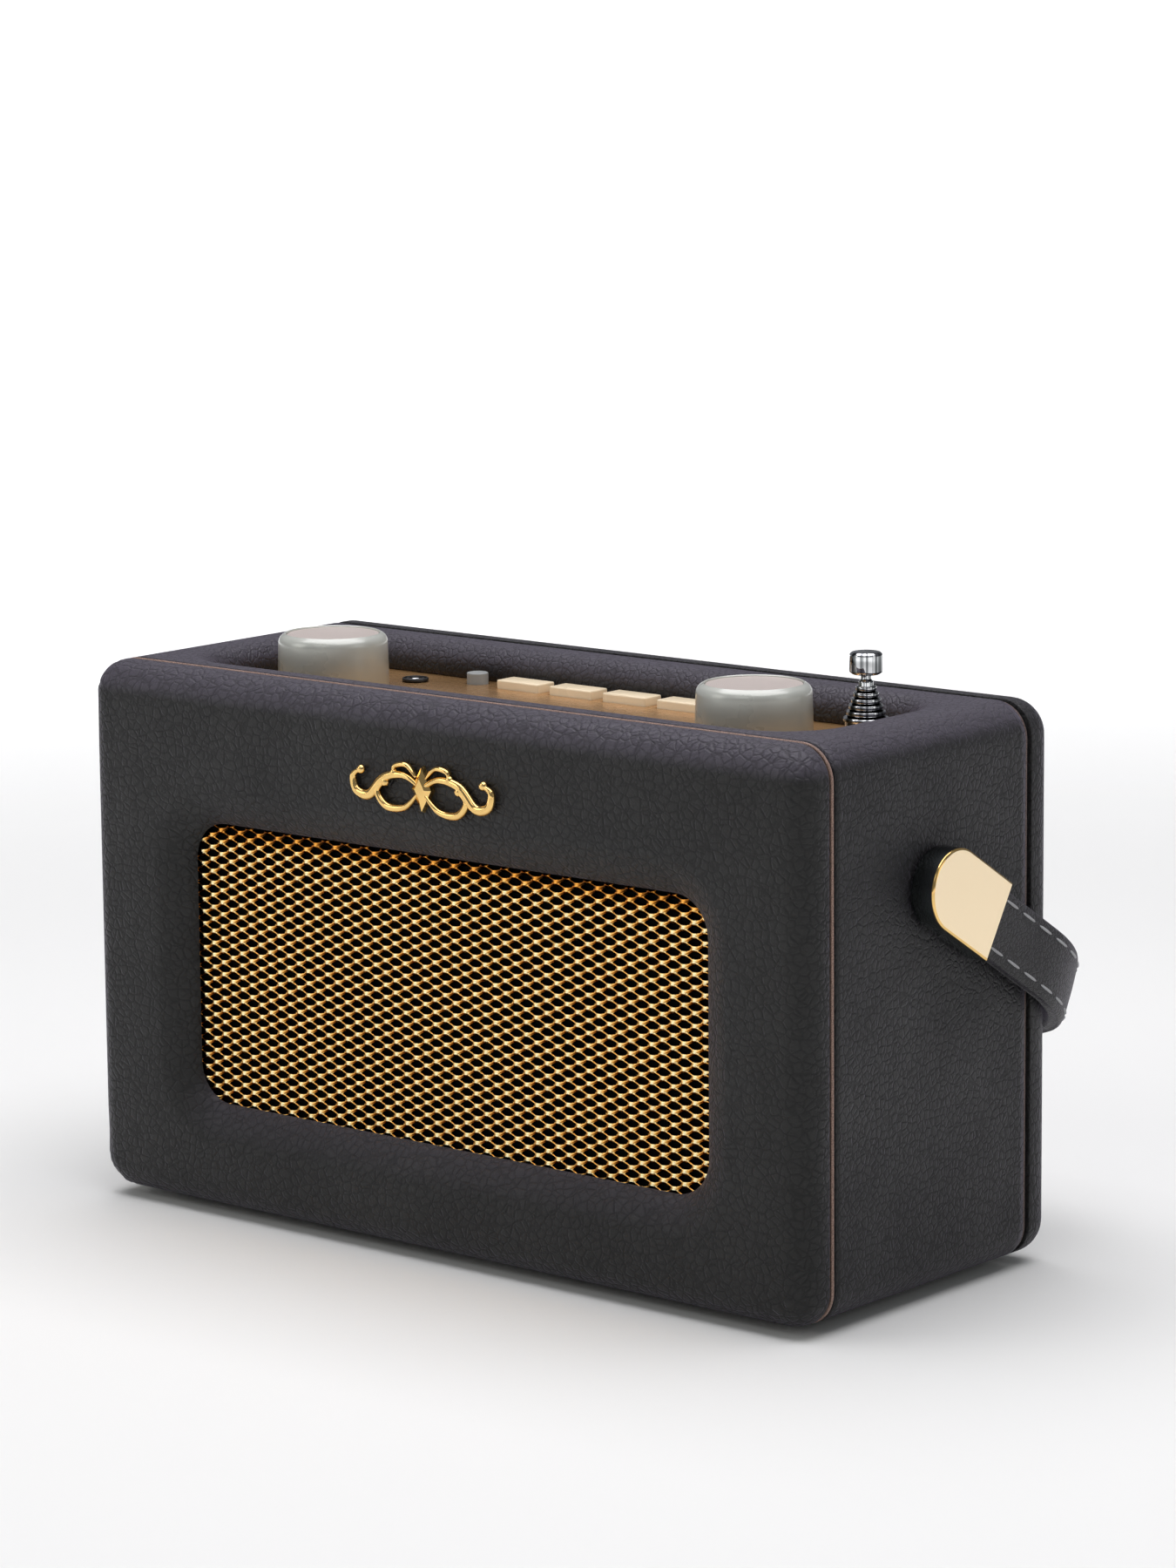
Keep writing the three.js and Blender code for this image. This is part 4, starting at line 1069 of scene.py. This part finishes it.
def crown(across):
    """Rise of the strap's outer face at a distance from its middle line."""
    return STRAP_CROWN * (1 - (across / STRAP_HALF) ** 2)


def strap_section():
    """Half-round edges, a crowned outer face and a pressed line outside each row of stitches."""
    points = []
    for a in full_turn(40):
        c, s = math.cos(a), math.sin(a)
        across = STRAP_HALF * math.copysign(abs(s) ** 0.28, s)
        out = STRAP_THICK / 2 * math.copysign(abs(c) ** 0.5, c)
        seam = 0.35 if abs(out) < 0.2 * STRAP_THICK else 0
        points.append((out, across - math.copysign(seam, across)))
    return points


def strap(material):
    rings = []
    for point, outward, width, _ in strap_frames():
        ring = []
        for out, across in strap_section():
            rise = out - STRAP_SUNK + (crown(across) if out > 0 else 0)
            ring.append(tuple(handle_point(*(point + outward * rise + width * across))))
        rings.append(ring)
    return mesh_object("strap_leather", *capped_loft(rings), material, angle=70)


STITCH_LENGTH, STITCH_PITCH, STITCH_ROW = 5.0, 7.3, 5.5
# Places along a stitch, and the thread's radius at each.
STITCH = {0: 0.1, 0.12: 0.26, 0.35: 0.32, 0.65: 0.32, 0.88: 0.26, 1: 0.1}


def strap_stitches(material):
    """Two rows of thread dashes near the edges of the strap's outer face."""
    frames = strap_frames()

    def place(distance, across):
        for a, b in zip(frames, frames[1:]):
            if a[3] <= distance <= b[3]:
                t = (distance - a[3]) / (b[3] - a[3])
                point, outward, width = (a[k].lerp(b[k], t) for k in range(3))
                rise = STRAP_THICK / 2 - STRAP_SUNK + crown(across) + 0.02
                return handle_point(*(point + outward * rise + width * across))

    points, faces = [], []
    start = CAP_LENGTH - STRAP_START + 1.2
    for across in (-STITCH_ROW, STITCH_ROW):
        distance = start
        while distance + STITCH_LENGTH < frames[-1][3] - start:
            knots = [place(distance + STITCH_LENGTH * t, across) for t in STITCH]
            along = (knots[-1] - knots[0]).normalized()
            side = (place(distance, across + 0.5) - place(distance, across - 0.5)).normalized()
            up = along.cross(side)
            circle = [side * math.cos(a) + up * math.sin(a) for a in full_turn(8)]
            thread, sides = capped_loft([[tuple(knot + spoke * size) for spoke in circle]
                                         for knot, size in zip(knots, STITCH.values())])
            faces += [tuple(len(points) + k for k in face) for face in sides]
            points += thread
            distance += STITCH_PITCH
    return mesh_object("strap_stitching", points, faces, material, angle=60)


def cap_outline(inset):
    """The cap's outline in (u, w): round at the pivot and cut square over the strap."""
    r = CAP_RADIUS - inset
    end = CAP_LENGTH - inset
    points = [(r * math.cos(a), r * math.sin(a)) for a in
              (math.pi / 2 + math.pi * j / 40 for j in range(41))]
    points += [(end * t, -r) for t in (0.33, 0.66, 1)]
    points += [(end, r * t) for t in (-0.5, 0, 0.5, 1)]
    points += [(end * t, r) for t in (0.66, 0.33)]
    return points


def handle_cap(name, node, side, face_material, bevel_material, side_material):
    """A plated cap with a flat satin face, a narrow bright bevel and mirror sides whose plating is
    darkened: painted dark reflections.
    """
    low, high = span(node)
    inner, outer = min(abs(low.x), abs(high.x)), max(abs(low.x), abs(high.x))
    levels = [(0.5, inner), (0.12, inner + 0.15), (0, inner + 0.5), (0, outer - 0.55),
              (0.08, outer - 0.3), (0.25, outer - 0.12), (0.5, outer), (0.9, outer)]

    def ring(outline, x):
        return [tuple(handle_point(side * x, u, w)) for u, w in outline]

    rings = [ring(cap_outline(inset), x) for inset, x in levels]
    cap = mesh_object(name, *capped_loft(rings), side_material, angle=25)
    cap.data.materials.append(face_material)
    cap.data.materials.append(bevel_material)
    for polygon in cap.data.polygons:
        lowest = min(abs(cap.data.vertices[v].co.x) for v in polygon.vertices) / MM
        if lowest > outer - 0.02:
            polygon.material_index = 1
        elif lowest > outer - 0.57:
            polygon.material_index = 2
    near, far, half = STRAP_START - SLOT_GAP, CAP_LENGTH + 1, STRAP_HALF + SLOT_GAP
    mouth = [(near, -half), (far, -half), (far, half), (near, half)]
    slot = capped_loft([ring(mouth, x) for x in (STRAP_OUTER - STRAP_THICK - SLOT_GAP,
                                                 STRAP_OUTER + SLOT_GAP)])
    cap = cut_with(cap, [mesh_object("slot", *slot, side_material, angle=30)])
    cap.data.set_sharp_from_angle(angle=math.radians(25))
    return cap


# ---- Stage ----

def area_light(name, place, target, size, power, color=(1, 1, 1)):
    data = bpy.data.lights.new(name, "AREA")
    data.shape = "RECTANGLE"
    data.size, data.size_y = size
    data.energy = power
    data.color = color
    lamp = add_object(name, data)
    lamp.location = place
    lamp.rotation_euler = (Vector(target) - Vector(place)).to_track_quat("-Z", "Y").to_euler()


FLOOR = 60  # metres from the middle of the floor to its edges


def make_stage():
    """A pale floor that glows more with distance from a point by the radio, painted light that
    whitens it far off, and large soft lights from above and around.
    """
    mesh = bpy.data.meshes.new("floor")
    corners = [(-FLOOR, -FLOOR, 0), (FLOOR, -FLOOR, 0), (FLOOR, FLOOR, 0), (-FLOOR, FLOOR, 0)]
    mesh.from_pydata(corners, [], [(0, 1, 2, 3)])
    floor = add_object("floor", mesh)
    s = Shader("floor_pale", (0.87, 0.877, 0.845), 0.9)
    s.set("Specular IOR Level", 0.1)
    s.set("Emission Color", (1, 1, 1, 1))
    # Painted light: the floor glows, not at all near the radio and fully from 1.7 m off, so that it
    # reads white far away.
    distance = s.vector_math("DISTANCE", {0: s.coords, 1: (0.2, -0.25, 0)}, "Value")
    s.wire(s.smooth(distance, 0.65, 1.7), "Emission Strength")
    mesh.materials.append(s.material)

    world = bpy.data.worlds.new("studio")
    bpy.context.scene.world = world
    world.use_nodes = True
    tree = world.node_tree
    sky = tree.nodes["Background"]
    sky.inputs["Color"].default_value = (0.9, 0.93, 1, 1)
    sky.inputs["Strength"].default_value = 0.2

    target = (0, 0, 0.06)
    area_light("softbox_top", (0.0, 0.05, 1.15), target, (1.5, 1.2), 16.5, (0.975, 0.955, 1))
    area_light("softbox_left", (-1.1, -1.3, 0.75), target, (0.9, 0.9), 4.5, (1, 0.98, 0.95))
    area_light("softbox_right", (1.7, 0.25, 0.65), target, (0.8, 0.9), 2.2, (1, 0.99, 0.97))
    area_light("softbox_camera", (0.4, -2.0, 1.7), target, (1.2, 0.8), 3.4)


# ---- Assembly ----

def paint_frame(m):
    """Materials for the CAD nodes that stay as they are."""
    finishes = {
        "wood": ["cabinet_shell", "front_board"],
        "brass": ["control_panel"],
        "black": ["panel_chassis", "display_module", "aerial_bracket", "battery_tray"],
        "board": ["control_board", "main_board"],
        "cloth": ["grille_cloth"],
        "paper": ["speaker_cone"],
        "film": ["battery_pack"],
        "steel": ["speaker_basket", "volume_shaft", "tuning_shaft", "volume_encoder",
                  "tuning_encoder", "pivot_bolt_left", "pivot_bolt_right", "pivot_bush_left",
                  "pivot_bush_right"],
    }
    for finish, nodes in finishes.items():
        for node in nodes:
            thing = frame["nodes"][node]
            for k in range(len(thing.material_slots)):
                thing.material_slots[k].material = m[finish]


def power_inlet(material):
    low, high = span("dc_socket")
    place = centre("dc_socket")
    profile = [(0, low.y), (5, low.y), (5, high.y), (4.2, high.y), (3.2, high.y - 0.6),
               (3.2, low.y + 2), (1, low.y + 2), (1, high.y - 1), (0.7, high.y - 0.8),
               (0, high.y - 0.8)]
    return turned("inlet_power", profile, material, place, 0.15, axis="Y")


def build(m):
    hide = "leather_charcoal"
    dress(front_cover(m["cover"]), "cabinet", hide, "front_cover")
    dress(sleeve(m["sleeve"]), "cabinet", hide, "cabinet_wrap")
    dress(back_cover(m["back"]), "cabinet", hide, "back_cover")
    # The back cord takes the darker copy of the piping: painted shade.
    for end, material, fullness, sink in (("front", m["piping"], 0.8, 0.12),
                                          ("back", m["piping_painted_shade"], 0.7, 0.25)):
        cord = piping(f"piping_{end}", f"{end}_piping", material, fullness, sink)
        dress(cord, "cabinet", "piping_tan", f"{end}_piping")
    dress(ornament(m["gold_bright"]), "cabinet", "gold_trim", "badge")
    dress(grille(m["grille"]), "cabinet", "grille_gold", "grille")
    for node in frame["nodes"]:
        if node.startswith("foot_"):
            dress(foot(node + "_pad", node, m["rubber"]), "cabinet", "rubber_black", node)
        if node.startswith("back_screw"):
            dress(screw(node + "_head", node, m["steel"]), "cabinet", "steel_plain", node)
    dress(power_inlet(m["black"]), "cabinet", "black_plastic", "dc_socket")
    dress(battery_door(m["black"]), "battery_lid", "black_plastic", "battery_door")
    dress(block("window_display", *span("display_window"), m["glass"], 0.3), "cabinet",
          "display_glass", "display_window")
    for control in ("volume", "tuning"):
        body, cap, disc = f"{control}_control", f"{control}_knob", f"{control}_knob_disc"
        dress(knob(f"{control}_knob_cap", cap, m["pearl"]), body, "knob_pearl", cap)
        dress(knob_disc(f"{control}_disc_spun", disc, m["disc"]), body, "knob_disc_spun", disc)
    for k in range(1, 6):
        dress(preset_button(f"key_preset_{k}", f"preset_button_{k}", m["ivory"]), f"preset_key_{k}",
              "button_ivory", f"preset_button_{k}")
    dress(power_button(m["grey"]), "power_key", "power_grey", "power_button")
    dress(headphone_socket(m["black"], m["chrome"]), "cabinet", "black_plastic", "headphone_socket")
    dress(aerial_tube("aerial_tube_fixed", "aerial_sleeve", m["chrome"], 0.4), "cabinet",
          "chrome_aerial", "aerial_sleeve")
    for k in range(1, 6):
        dress(aerial_tube(f"aerial_tube_ring_{k}", f"aerial_tube_{k}", m["chrome"], 0.2),
              f"aerial_section_{k}", "chrome_aerial", f"aerial_tube_{k}")
    dress(aerial_rod(m["chrome"]), "aerial_tip", "chrome_aerial", "aerial_rod")
    dress(strap(m["strap"]), "handle", hide, "handle_strap")
    dress(strap_stitches(m["thread"]), "handle", hide)
    for name, side in (("left", -1), ("right", 1)):
        node = f"handle_cap_{name}"
        metals = m["gold"], m["gold_bright"], m["cap_side"]
        cap = handle_cap(f"cap_plated_{name}", node, side, *metals)
        dress(cap, "handle", "gold_trim", node)


bpy.context.scene.view_settings.view_transform = "Standard"
make_camera()
materials = make_materials()
paint_frame(materials)
build(materials)
make_stage()
